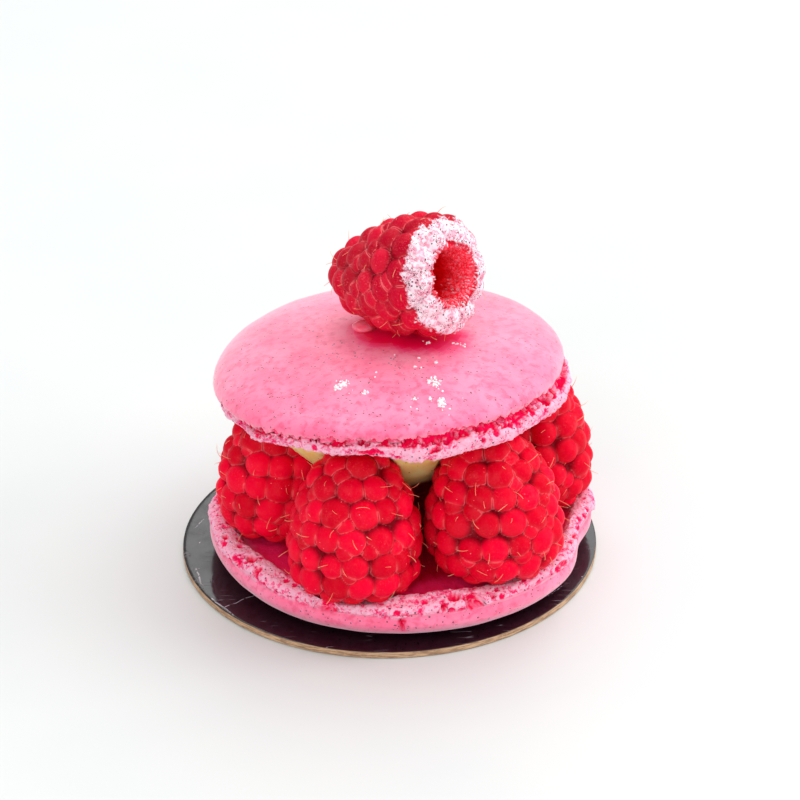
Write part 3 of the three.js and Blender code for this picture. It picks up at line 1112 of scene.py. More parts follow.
@dataclass
class Raspberry:
    """One berry: its drupelets in one closed skin, and its hairs."""

    node: str
    foot: Point
    tip: Point
    radius: float
    twist: float
    seed: int
    pose: Pose = Pose.STANDING
    form: BerryForm = BerryForm()
    hollow: Hollow = Hollow()

    HAIR_SHARE = 0.85
    HAIR_REACH = (1.3, 3.1)
    HAIR_RADIUS = 0.07

    def __post_init__(self) -> None:
        """Works out the axis, the outline and the drupelets' places."""
        foot, tip = Vector(self.foot), Vector(self.tip)
        self.length = (tip - foot).length
        self.axis = (tip - foot).normalized()
        turn = Vector((0, 0, 1)).rotation_difference(self.axis)
        turn = turn @ Quaternion((0, 0, 1), math.radians(self.twist))
        self.matrix = Matrix.LocRotScale(foot, turn, Vector((1, 1, 1)))
        self.line = self.form.outline(self.radius, self.length)
        self.places = self.form.sites(self.line, self.seed)

    def drupelets(self) -> tuple[Array, Array, Array]:
        """The balls whose union is the berry's skin.

        Returns:
            Their middles, n by 3, their radii and their tones.
        """
        form = self.form
        total = self.line[-1, 0]
        index = np.arange(len(self.places))
        size = form.swell * (0.86 + 0.26 * draw(self.seed + Row.SIZE, index))
        big = np.column_stack([self.places, size])
        big[:, 1] += 0.16 * (draw(self.seed + Row.TURN, index) - 0.5)
        big[:, 0] += 0.7 * (draw(self.seed + Row.ALONG, index) - 0.5) * (index < len(index) - 1)
        sunk = 0.32 * draw(self.seed + Row.SINK, index) ** 2 - 0.12
        small = self.places[draw(self.seed + Row.SMALL, index) < 0.3]
        small = small[small[:, 0] < 0.86 * total]
        count_small = np.arange(len(small))
        beside = np.column_stack([
            small[:, 0] + 0.52 * form.pitch,
            small[:, 1] + 0.62 * form.pitch / np.interp(small[:, 0], self.line[:, 0], self.line[:, 1]),
            1.75 + 0.7 * draw(self.seed + Row.SMALL_SIZE, count_small),
        ])
        every = np.vstack([big, beside])
        sunk = np.concatenate([sunk, 0.1 + 0.4 * draw(self.seed + Row.SMALL_SINK, count_small)])
        spot, out = self.on_outline(every[:, 0], every[:, 1])
        near_tip = smooth(every[:, 0], 0.8 * total, total)
        radii = every[:, 2] * (1 - 0.14 * near_tip)
        tones = draw(self.seed + Row.TONE, np.arange(len(every)))
        return spot - out * (radii + sunk)[:, None], radii, tones

    def on_outline(self, along: Array, angle: Array) -> tuple[Array, Array]:
        """Places on the berry's plain outline.

        Args:
            along: Distances along the outline.
            angle: Angles round the berry.

        Returns:
            The points and the ways out, n by 3 each, in the berry's own frame.
        """
        table = self.line
        r = np.interp(along, table[:, 0], table[:, 1])
        z = np.interp(along, table[:, 0], table[:, 2])
        slope = np.gradient(table[:, 1:], axis=0)
        slope /= np.linalg.norm(slope, axis=1)[:, None] + 1e-9
        out_r = np.interp(along, table[:, 0], slope[:, 1])
        out_z = -np.interp(along, table[:, 0], slope[:, 0])
        point = np.stack([r * np.cos(angle), r * np.sin(angle), z], -1)
        return point, np.stack([out_r * np.cos(angle), out_r * np.sin(angle), out_z], -1)

    def path(self) -> tuple[Array, Array]:
        """The outline that is turned into the skin.

        Returns:
            Radius and height of each ring, and how far each lies inside the hollow, 0 to 1.
        """
        body = self.line[self.line[:, 2] > 1.4][:, 1:]
        if self.pose is Pose.LYING:
            h = self.hollow
            start = [
                (0, h.depth, 4), (1.7, h.depth - 0.5, 5), (h.throat * 0.72, h.depth * 0.8, 14),
                (h.throat, h.depth * 0.4, 12), (h.mouth - 0.2, 2.4, 6), (h.mouth + 0.3, 0.8, 4),
                (h.mouth + 1.1, 0.15, 4), (h.mouth + 1.9, 0.3, 4), (*body[0], 1),
            ]
            spacing = 0.235
        else:
            end = body[0, 0]
            start = [
                (0, 1.6, 3), (end - 2.6, 1.0, 3), (end - 1.2, 0.2, 5), (end - 0.35, 0.5, 3), (*body[0], 1),
            ]
            spacing = 0.32
        inner = trace(start)
        line = np.vstack([inner[:-1], body])
        along = np.concatenate([[0], np.cumsum(np.linalg.norm(np.diff(line, axis=0), axis=1))])
        even = np.linspace(0, along[-1], int(along[-1] / spacing))
        rings = np.column_stack([np.interp(even, along, line[:, 0]), np.interp(even, along, line[:, 1])])
        turning = np.argmin(line[:, 1]) if self.pose is Pose.LYING else 0
        inside = along[turning] - even
        return rings, inside

    def skin(self) -> Body:
        """Shapes the berry's closed skin.

        Returns:
            The skin in the macaron's frame, with its marks.
        """
        rings, inside = self.path()
        lying = self.pose is Pose.LYING
        turned = Turned(rings, 310 if lying else 240)
        points = turned.points().reshape(-1, 3)
        out = turned.directions().reshape(-1, 3)
        height, rift, above, tone = self.swelling(points, out)
        # Keeps the painted rim highlight to the lower edges.
        seam = rift + 0.6 * smooth(above, -0.4, 0.9)
        grain = Grain(self.seed)
        height = height + 0.07 * grain.at(points, 1.7)
        shape = turned.r.shape
        depth_in = np.broadcast_to(inside[:, None], shape).ravel()
        core = np.zeros(len(points))
        sugar = np.zeros(len(points))
        if lying:
            height, sugar, core = self.open_end(points, out, turned.angle.ravel(), depth_in, height)
        else:
            height = np.minimum(height, 0.25)
        slimmer = self.taper(points, out) if lying else 0
        turned.push((height - slimmer).reshape(shape))
        bare = 1 - np.minimum(core, 1)
        plain = FAR_SEAM * (1 - bare)
        # The depth and rift marks carry painted shade in the creases, and seam the painted rim highlight.
        marks = {"depth": -height * bare, "seam": seam + plain, "rift": rift + plain, "tone": tone}
        marks |= {"sugar": sugar, "core": core}
        body = turned.body(**{key: value.reshape(shape) for key, value in marks.items()})
        return body.placed(self.matrix)

    def taper(self, points: Array, out: Array) -> Array:
        """How much slimmer than its outline the berry is above, toward its tip.

        Args:
            points: Places on the plain outline, n by 3.
            out: The ways out there.

        Returns:
            The depth to take off, in millimetres.
        """
        share = points[:, 2] / self.length
        above = smooth(out @ np.array(self.matrix)[2, :3], -0.2, 0.7)
        return 1.1 * above * smooth(share, 0.3, 0.6) * (1 - smooth(share, 0.86, 1))

    def open_end(
        self, points: Array, out: Array, angle: Array, inside: Array, height: Array
    ) -> tuple[Array, Array, Array]:
        """Shapes the rim, the fuzzy hollow and the powder caked round it.

        Args:
            points: Places on the plain outline, n by 3.
            out: The ways out there.
            angle: Their angles round the berry.
            inside: How far each lies inside the rim, in millimetres.
            height: The drupelets' height there.

        Returns:
            The new height, how much powder lies there, and how far inside the hollow it is, 0 to 2.
        """
        grain = Grain(self.seed)
        rim = smooth(inside, -2.4, -0.2)
        height = np.minimum(height + 0.3 - 0.4 * rim, 0.5)
        ribs = 0.3 * np.cos(11 * angle + 3 * grain.at(points, 4))
        fuzz = ribs + 0.55 * grain.layered(points, 1.3, 3, 0.75)
        core = smooth(inside, 0.2, 1.6)
        height = height * (1 - core) + core * fuzz
        edge = -5.1 + 1.2 * grain.layered(points, 2.4, 2) + 1.3 * grain.layered(points + 5, 0.8, 2, 0.8)
        fade = 0.5 + 0.5 * grain.layered(points + 9, 1.6, 2, 0.8)
        streaks = 0.28 * np.cos(47 * angle + 4 * grain.at(points, 2))
        streaks = streaks + 0.9 * grain.layered(points + 21, 0.7, 2, 0.8)
        across, _, up = np.array(self.matrix)[:3, :3]
        upward = smooth(out @ up - 0.5 * (out @ across), 0.1, 0.9)
        dusted = self.rise(streaks - 0.1 - 0.3 * np.maximum(inside, 0) * (1 - 0.78 * upward), 0.12)
        inner = np.maximum(self.rise(fade - 0.3 - inside, 0.2), dusted)
        sugar = self.rise(inside - edge, 0.12) * inner
        caked = 0.2 + 0.2 * grain.layered(points, 1.0, 3, 0.8)
        return height + sugar * caked, sugar, core + smooth(inside, 2.5, 11)

    @staticmethod
    def rise(value: Array, half: float) -> Array:
        """Rises smoothly from 0 at -half to 1 at half."""
        return smooth(value, -half, half)

    def swelling(self, points: Array, out: Array) -> tuple[Array, Array, Array, Array]:
        """How far the drupelets' union reaches from the plain outline.

        Args:
            points: Places on the outline, n by 3.
            out: The ways out there.

        Returns:
            The height of the skin, the distance to the next drupelet's edge, how far the place
            lies above its own drupelet's middle, and that drupelet's tone.
        """
        middles, radii, tones = self.drupelets()
        gap = middles[None] - points[:, None]
        ahead = np.einsum("nmk,nk->nm", gap, out)
        inside = ahead**2 - np.einsum("nmk,nmk->nm", gap, gap) + radii**2
        angle = np.arctan2(points[:, 1], points[:, 0])
        along = [-out[:, 2] * np.cos(angle), -out[:, 2] * np.sin(angle), np.hypot(*out[:, :2].T)]
        toward_tip = np.stack(along, -1)
        behind = np.einsum("nmk,nk->nm", gap, toward_tip)
        reach = ahead + np.sqrt(np.maximum(inside, 0)) + self.form.overlap * behind
        reach = np.where(inside > 0, reach, NOWHERE)
        every = np.arange(len(points))
        best, following = np.argsort(reach, axis=1)[:, [-1, -2]].T
        top = reach[every, best]
        flat = gap - ahead[..., None] * out[:, None]
        steep = flat / np.sqrt(np.maximum(inside, 0.3))[..., None]
        apart = np.linalg.norm(steep[every, best] - steep[every, following], axis=1)
        seam = np.clip((top - reach[every, following]) / np.maximum(apart, 0.4), 0, FAR_SEAM)
        return np.maximum(top, -self.form.core), seam, -behind[every, best], tones[best]

    def hairs(self) -> Body:
        """Sets the hairs, about one on each drupelet.

        Returns:
            Closed tapered tubes in one body, in the macaron's frame.
        """
        dice = np.random.default_rng(self.seed)
        index = np.arange(len(self.places))
        haired = draw(self.seed + Row.HAIR, index) < self.HAIR_SHARE
        kept = self.places[haired & (self.places[:, 0] > self.line[1, 0] + 2)]
        angle = kept[:, 1] + dice.normal(0, 0.1, len(kept))
        along = kept[:, 0] + dice.normal(0, 0.9, len(kept))
        spot, out = self.on_outline(np.clip(along, 0, self.line[-1, 0] - 0.4), angle)
        height = self.swelling(spot, out)[0] - 0.15
        if self.pose is Pose.LYING:
            height = height - self.taper(spot, out)
        spot = spot + out * height[:, None]
        return joined([self.hair(base, way, dice) for base, way in zip(spot, out)]).placed(self.matrix)

    def hair(self, base: Array, out: Array, dice: np.random.Generator) -> Body:
        """One curved hair.

        Args:
            base: Its root.
            out: The way out of the skin there.
            dice: Where its lean and length come from.

        Returns:
            A closed tube, tapered to its tip.
        """
        lean = dice.normal(size=3)
        lean -= out * (lean @ out)
        lean /= np.linalg.norm(lean)
        bend = np.cross(out, lean) * dice.normal(0, 0.5) - out * dice.uniform(0.1, 0.7)
        reach = dice.uniform(*self.HAIR_REACH)
        share = np.linspace(0, 1, 7)[:, None]
        start = out * dice.uniform(0.5, 1.0) + lean * dice.uniform(0.4, 1.1)
        line = base + reach * (share * start / np.linalg.norm(start) + 0.5 * share**2 * bend)
        return tube(line, self.HAIR_RADIUS * (1 - 0.5 * share[:, 0]), 5)

    def build(self, flesh: bpy.types.Material, hair: bpy.types.Material) -> list[bpy.types.Object]:
        """Makes the berry and its hairs.

        Args:
            flesh: The berry's finish.
            hair: The hairs' finish.

        Returns:
            The two pieces.
        """
        name = f"raspberry_{self.node.split('_')[1]}"
        berry = own(self.skin().piece(name, [flesh]), "raspberry_flesh", self.node)
        hairs = own(self.hairs().piece(f"{name}_hairs", [hair]), "raspberry_flesh")
        return [berry, hairs]

    def room(self, points: Array, gap: float) -> tuple[Array, Array, Array]:
        """Where places lie against the berry's plain outline.

        Args:
            points: Places in the macaron's frame, n by 3.
            gap: How far the outline is grown.

        Returns:
            Distance from the axis less the grown radius, height along the axis, and the way off the axis.
        """
        foot, axis = np.array(self.foot), np.array(self.axis)
        along = (points - foot) @ axis
        away = points - foot - along[:, None] * axis
        distance = np.linalg.norm(away, axis=1)
        share = np.clip(along / self.length, 0, 1)
        inside = (along > -gap) & (along < self.length + gap)
        grown = np.where(inside, self.form.radius_at(share, self.radius) + gap, -99)
        return distance - grown, along, away / (distance[:, None] + 1e-9)


def tube(line: Array, radii: Array, sides: int) -> Body:
    """A closed tube along a line.

    Args:
        line: Its points, n by 3.
        radii: Its radius at each point.
        sides: Points round it.

    Returns:
        The tube, with the mark reach running from 0 at its start to 1 at its end.
    """
    along = np.gradient(line, axis=0)
    along /= np.linalg.norm(along, axis=1)[:, None]
    side = np.cross(along, [0.31, 0.52, 0.79])
    side /= np.linalg.norm(side, axis=1)[:, None]
    up = np.cross(along, side)
    turn = 2 * math.pi * np.arange(sides) / sides
    ring = np.cos(turn)[None, :, None] * side[:, None] + np.sin(turn)[None, :, None] * up[:, None]
    points = (line[:, None] + radii[:, None, None] * ring).reshape(-1, 3)
    faces = []
    for row in range(len(line) - 1):
        for i in range(sides):
            a, b = row * sides + i, row * sides + (i + 1) % sides
            faces.append([a, b, b + sides, a + sides])
    faces.append(list(range(sides))[::-1])
    faces.append([(len(line) - 1) * sides + i for i in range(sides)])
    reach = np.repeat(np.linspace(0, 1, len(line)), sides)
    return Body(points, faces, {"reach": reach})


RING = [
    Raspberry("berry_1", (-6.5, -28.5, 8.5), (-6.0, -24.4, 36.7), 12.7, 10, 10),
    Raspberry("berry_2", (19.9, -21.6, 9.1), (18.8, -20.0, 36.9), 13.2, 77, 20),
    Raspberry("berry_3", (28.0, 3.0, 9.1), (26.8, 4.0, 37.2), 11.7, 31, 30),
    Raspberry("berry_4", (9.4, 24.0, 9.1), (8.6, 22.6, 35.4), 12.2, 143, 40),
    Raspberry("berry_5", (-15.2, 18.4, 9.1), (-13.8, 17.4, 34.8), 12.0, 95, 50),
    Raspberry("berry_6", (-21.4, -6.0, 9.1), (-20.7, -5.4, 35.3), 11.5, 52, 60),
]
TOP = Raspberry(
    "berry_top", (12.9, -8.8, 63.2), (-8.6, 10.1, 54.6), 11.5, 20, 90, Pose.LYING, BerryForm(swell=2.95)
)


def pressed_back(points: Array, gap: float) -> Array:
    """Moves what would lie inside a standing berry to just outside it.

    Args:
        points: Places in the macaron's frame, n by 3.
        gap: The air left round each berry.

    Returns:
        The places after that.
    """
    moved = points.copy()
    for berry in RING:
        over, along, away = berry.room(moved, gap)
        down = along + gap
        inside = (over < 0) & (down > 0)
        sideways = inside & (-over < down)
        moved[sideways] -= over[sideways, None] * away[sideways]
        below = inside & ~sideways
        moved[below, 2] -= down[below]
    return moved


# ---- Shells ----


@dataclass(frozen=True)
class Tear:
    """A bite out of a shell's foot: an upright lens of half sizes across, deep and tall."""

    angle: float
    radius: float
    height: float
    half: Point

    def cut(self, turned: Turned, grain: Array) -> Array:
        """Presses the lens into a turned body.

        Args:
            turned: The shell, which is changed.
            grain: Roughness of the torn faces, in millimetres.

        Returns:
            1 on the torn faces and 0 off them.
        """
        across, deep, tall = self.half
        theta = math.radians(self.angle)
        off = turned.angle - theta
        sideways = turned.r * np.sin(off)
        ahead = turned.r * np.cos(off)
        ragged = 1 + 0.35 * grain
        level = 1 - (sideways / (across * ragged)) ** 2 - ((turned.z - self.height) / (tall * ragged)) ** 2
        floor = self.radius + 0.25 * deep - deep * np.maximum(level, 0) ** 0.3 + 0.3 * grain
        torn = (level > 0) & (ahead > floor)
        turned.r = np.where(torn, floor / np.cos(off), turned.r)
        return torn * smooth(grain + 0.5 * level, 0.1, 0.4)


@dataclass(frozen=True)
class Pit:
    """A ragged hole or crack: its middle, half its width round the shell and along it, and its depth."""

    angle: float
    radius: float
    height: float
    across: float
    along: float
    depth: float
    lean: float = 0.0

    def press(self, turned: Turned, ragged: Array) -> Array:
        """Presses the hole into a turned body.

        Args:
            turned: The shell, which is changed.
            ragged: Noise of about -1 to 1 that breaks up the edge.

        Returns:
            1 in the hole and 0 out of it.
        """
        off = turned.angle - math.radians(self.angle)
        sideways = turned.r * np.sin(off)
        rise = np.hypot(turned.r - self.radius, turned.z - self.height)
        sideways = sideways + self.lean * (turned.z - self.height) + 0.35 * ragged
        level = 1 - (sideways / self.across) ** 2 - ((rise + 0.2 * ragged) / self.along) ** 2 + 0.3 * ragged
        level = np.where(np.cos(off) > 0, level, -1)
        turned.push(-self.depth * smooth(level, 0, 0.45))
        return smooth(level, 0, 0.25)


@dataclass(frozen=True)
class Droop:
    """Where a foot hangs low: the angles where that starts, is full, holds and ends, and by how much."""

    start: float = -97
    full: float = -81
    hold: float = -25
    end: float = 35
    depth: float = 1.8

    def at(self, angle: Array) -> Array:
        """How far the foot hangs down at each angle round the shell."""
        degrees = (np.degrees(angle) + 180) % 360 - 180
        return self.depth * (smooth(degrees, self.start, self.full) - smooth(degrees, self.hold, self.end))


@dataclass
class Shell:
    """What the two shells share: how their foot is ruffled, bubbled and torn."""

    centre: Point
    tears: list[Tear]
    pits: list[Pit]
    seed: int
    columns: int = 800
    ruffle: float = 0.4
    undulation: float = 0.18
    roughness: float = 1.0

    @staticmethod
    def frontness(angle: Array) -> Array:
        """One at the very front, falling smoothly to nothing at the sides."""
        return np.maximum(0, -np.sin(angle)) ** 2

    @staticmethod
    def matt(body: Body) -> Array:
        """How far the surface has lost the dry skin's sheen.

        Args:
            body: The shell's body, with its marks.

        Returns:
            1 on crumb, raw or moist faces, less where it is stained, and 0 on the dry skin.
        """
        marks = body.marks
        open_crumb = (marks["foot"] > 0.15) | (marks["cavity"] > 0.2) | (marks["moist"] > 0.1)
        return np.maximum(open_crumb, np.clip(1.3 * marks["stain_and_shade"] ** 0.7, 0, 1))

    def roughen(self, turned: Turned, foot: Array, smoothness: Array) -> tuple[Array, Array]:
        """Works bubbles, lumps, tears and cracks into the foot.

        Args:
            turned: The shell, which is changed.
            foot: Where the foot is, 0 to 1.
            smoothness: Where the smooth skin is, 0 to 1.

        Returns:
            How low the crumb lies at each place, and how far it lies open to the raw inside, 0 to 1.
        """
        grain = Grain(self.seed)
        points = turned.points().reshape(-1, 3)
        shape = turned.r.shape
        lumps = grain.layered(points, 2.6, 3).reshape(shape)
        fine = grain.layered(points, 1.0, 3, 0.75).reshape(shape)
        gap, kind = grain.bubbles(points, 1.9)
        holes = (smooth(0.8 - gap, 0, 0.4) * (kind < 0.45)).reshape(shape)
        crumbs, kind = grain.bubbles(points + 11, 1.2)
        crumbs = (smooth(0.62 - crumbs, 0, 0.4) * (kind < 0.55)).reshape(shape)
        relief = 0.34 * lumps + 0.34 * fine - 0.6 * holes + 0.3 * crumbs
        turned.push(foot * relief * self.roughness)
        swell = grain.layered(points, 9, 2).reshape(shape)
        turned.push(smoothness * (0.16 * swell + 0.02 * fine))
        torn = np.zeros(shape)
        for tear in self.tears:
            torn = np.maximum(torn, tear.cut(turned, fine))
        for pit in self.pits:
            torn = np.maximum(torn, pit.press(turned, fine))
        low = smooth(-relief, -0.3, 0.45)
        return low, np.maximum(torn, foot * smooth(holes, 0.45, 0.9) * 0.85)


@dataclass
class LowerShell(Shell):
    """The shell that lies on the card, its foot up."""

    radius: float = 37
    flat_radius: float = 29.5
    skin_top: float = 5.9
    rim_top: float = 9.0
    rim_inner: float = 32.7
    floor: float = 6.5
    front_dip: float = 0.9
    roughness: float = 0.7
    flat_at: float = -15
    flat_reach: float = 10.5
    flat_depth: float = 1.9

    def outline(self) -> list[tuple[float, float, int]]:
        """The outline from the middle below to the middle above.

        Returns:
            Its stops, as trace takes them.
        """
        r, top, rim, inner = self.radius, self.skin_top, self.rim_top, self.rim_inner
        return [
            (0, 0, 3), (self.flat_radius - 2, 0, 2), (self.flat_radius, 0.02, 5), (r - 3.3, 0.8, 7),
            (r - 1.2, 2.4, 7), (r - 0.1, 4.4, 6), (r - 0.2, top, 4), (r - 0.55, top + 0.55, 4),
            (r - 0.4, top + 1.0, 4), (r - 0.2, top + 1.6, 6), (r - 0.7, rim - 0.35, 6), (r - 2.0, rim, 8),
            (inner, rim - 0.5, 8), (inner - 1.4, self.floor + 0.4, 6), (inner - 4.5, self.floor, 12),
            (0, self.floor, 1),
        ]

    def build(self, finishes: list[bpy.types.Material]) -> bpy.types.Object:
        """Makes the shell.

        Args:
            finishes: Its finishes, from the dry skin to the crumb.

        Returns:
            The piece.
        """
        turned = Turned(trace(self.outline()), self.columns)
        angle, r, z = turned.angle, turned.r, turned.z
        outer = smooth(r, self.rim_inner - 0.5, self.radius - 1.5)
        uneven = 0.7 * wave(angle, 7, 6, 24) + 0.3 * wave(angle, 9, 25, 60)
        edge = self.skin_top + 0.75 + 0.5 * uneven + 0.7 * np.maximum(np.cos(angle + 0.3), 0)
        foot = smooth(z - edge, -0.4, 0.4) * smooth(r, self.rim_inner - 1.6, self.rim_inner)
        blotch = Grain(self.seed + 3).layered(turned.points().reshape(-1, 3), 4.5, 3, 0.7).reshape(r.shape)
        # The moist mark climbs to 2 deep inside; above 1.3 it carries painted shade under the berries.
        moist = smooth(self.rim_inner + 0.8 + 0.5 * uneven + 2.2 * blotch - r, -0.5, 11.0) * (z > 3) * 2
        ruffle = foot * self.ruffle * wave(angle, 11, 5, 19)
        around = (np.degrees(angle) - self.flat_at + 180) % 360 - 180
        ruffle = ruffle - outer * self.flat_depth * np.exp(-((around / self.flat_reach) ** 2))
        turned.r = r + outer * (z > 0.01) * self.undulation * wave(angle, 3, 2, 5) * (1 - foot) + ruffle
        crest = foot * 0.3 * wave(angle, 17, 4, 15)
        turned.z = z + crest - outer * self.front_dip * self.frontness(angle) * z / self.rim_top
        even = smooth(z, 0.3, 1.2) * (1 - foot) * smooth(r, self.rim_inner, self.rim_inner + 2)
        inner_floor = smooth(self.rim_inner - r, -0.5, 1.5) * (z > 3)
        low, cavity = self.roughen(turned, np.maximum(foot, 0.45 * inner_floor), even)
        cavity = cavity * (1 - inner_floor)
        marks = {"foot": foot, "low": low, "cavity": cavity, "moist": moist, "stain_and_shade": np.zeros_like(foot)}
        body = turned.body(**marks)
        body.points = pressed_back(body.points + np.array(self.centre), BERRY_GAP)
        made = body.piece("shell_lower", finishes, share=self.matt(body))
        return own(made, "almond_shell", "shell_bottom")


@dataclass
class UpperShell(Shell):
    """The shell on top, its dome up and its foot over the berries."""

    tilt: tuple[float, float] = (-2.8, -3.3)
    radius: float = 33
    dome: float = 7.6
    underside: float = -3.3
    foot: float = -4.0
    front_lift: float = 1.9
    foot_shift: float = 0.9
    droop: Droop = Droop()
    dent: Point = (24.2, -14.4, 4.6)
    dent_depth: float = 0.45

    def __post_init__(self) -> None:
        """Works out where the shell leans."""
        about_x, about_y = (math.radians(turn) for turn in self.tilt)
        lean = Matrix.Rotation(about_y, 4, "Y") @ Matrix.Rotation(about_x, 4, "X")
        self.matrix = Matrix.Translation(self.centre) @ lean

    def outline(self) -> list[tuple[float, float, int]]:
        """The outline from the middle below to the middle above.

        Returns:
            Its stops, as trace takes them.
        """
        r, foot = self.radius, self.foot
        stops = [
            (0, self.underside, 8), (r - 5.2, self.underside, 4), (r - 3.4, foot + 0.3, 6),
            (r - 2.0, foot, 6), (r - 0.8, foot + 0.15, 6), (r - 0.1, foot + 0.8, 6),
            (r - 0.2, foot + 1.4, 5), (r - 0.8, foot + 1.75, 6), (r - 1.3, foot + 2.05, 6),
            (r - 1.45, foot + 2.5, 7), (r - 1.05, foot + 2.9, 6), (r - 0.35, -0.75, 5),
        ]
        for i in range(12):
            lean = math.pi / 2 * i / 12
            stops.append((r * math.cos(lean) ** 0.85, self.dome * math.sin(lean), 4 if i < 6 else 3))
        stops.append((0, self.dome, 1))
        return stops

    def build(self, finishes: list[bpy.types.Material]) -> bpy.types.Object:
        """Makes the shell.

        Args:
            finishes: Its finishes, from the dry skin to the crumb.

        Returns:
            The piece.
        """
        turned = Turned(trace(self.outline()), self.columns)
        angle, r, z = turned.angle, turned.r, turned.z
        outer = smooth(r, self.radius - 5, self.radius - 2.5)
        foot = outer * smooth(-z, 1.0, 1.5)
        crevice = outer * smooth(-z, 0.8, 1.15) * smooth(z, -2.45, -2.05)
        fade = 1 - smooth(z, -0.8, 0.7 * self.dome)
        lift = outer * self.front_lift * self.frontness(angle) * fade
        skin_wave = self.undulation * wave(angle, 5, 2, 5) * r / self.radius
        foot_wave = self.ruffle * wave(angle, 23, 5, 19) + self.foot_shift * np.cos(angle)
        turned.r = r + np.where(z > 0, skin_wave, skin_wave * (1 - foot) + foot_wave * foot) * (r > 1)
        sag = outer * smooth(-z, 1, -self.foot) * self.droop.at(angle)
        turned.z = z + lift - sag + 0.3 * foot * wave(angle, 29, 4, 13)
        points = turned.points().reshape(-1, 3)
        grain = Grain(self.seed + 1)
        ragged = grain.layered(points, 3.0, 2).reshape(r.shape)
        teeth = grain.layered(points * np.array([1, 1, 0.3]), 1.3, 3, 0.75).reshape(r.shape)
        low, cavity = self.roughen(turned, np.maximum(0.8 * foot, 0.35 * crevice), smooth(z, -0.9, -0.2))
        bridge = smooth(teeth + 0.3 * ragged, -0.04, 0.2)
        turned.push(crevice * (0.7 * bridge - 0.35 * (1 - bridge) - 0.25 * ragged))
        lip = smooth(z, -1.5, -0.8) * smooth(-z, -0.8, 0.6) * outer
        crest = smooth(z, -3.2, -2.5) * smooth(-z, 1.7, 2.2) * outer
        opening = 0.28 * ragged + 0.42 * teeth
        turned.z = turned.z + lip * (0.1 + 0.5 * ragged + 1.4 * teeth) + crest * (0.2 - opening)
        turned.r = turned.r + crest * (0.25 + 0.5 * teeth) + lip * 0.18 * teeth
        cavity = np.maximum(cavity, smooth(crevice, 0.25, 0.75) * (1 - 0.9 * bridge))
        frayed = outer * smooth(z, -1.2, -0.9) * smooth(teeth - 0.45 * (z + 0.9), 0.06, 0.22)
        turned.push(-0.3 * frayed)
        cavity = np.maximum(cavity, frayed)
        moist = smooth(self.radius - 4.2 - r, 0, 1.5) * (z < 0)
        marks = {"foot": foot, "low": low, "cavity": cavity, "moist": moist, "stain_and_shade": np.zeros_like(foot)}
        placed = turned.body(**marks).placed(self.matrix)
        self.hollow_out(placed)
        placed.marks["stain_and_shade"] = self.stain_and_shade(placed.points)
        made = placed.piece("shell_upper", finishes, share=self.matt(placed))
        return own(made, "almond_shell", "shell_top")

    def hollow_out(self, body: Body) -> None:
        """Presses the one shallow dent into the dome.

        Args:
            body: The shell's body, which is changed.
        """
        x, y, reach = self.dent
        away = np.hypot(body.points[:, 0] - x, body.points[:, 1] - y)
        top = smooth(body.points[:, 2], self.centre[2], self.centre[2] + 3)
        body.points[:, 2] -= self.dent_depth * top * (1 - smooth(away, 0, reach))

    def stain_and_shade(self, points: Array) -> Array:
        """How much juice stain and painted contact shade lie on the dome round the berry on top.

        Args:
            points: Places in the macaron's frame, n by 3.

        Returns:
            A share for each place, 0 to 1.
        """
        foot, tip = np.array(TOP.foot), np.array(TOP.tip)
        share = np.clip((points - foot) @ (tip - foot) / ((tip - foot) @ (tip - foot)), 0.05, 0.5)
        away = np.linalg.norm(points - foot - share[:, None] * (tip - foot), axis=1) - TOP.radius
        top = smooth(points[:, 2], self.centre[2], self.centre[2] + 4)
        uneven = 0.9 * Grain(self.seed + 2).layered(points, 5, 3)
        return top * (1 - smooth(away + uneven, 0.7, 4.4))


# ---- Custard, drop, card and sugar ----


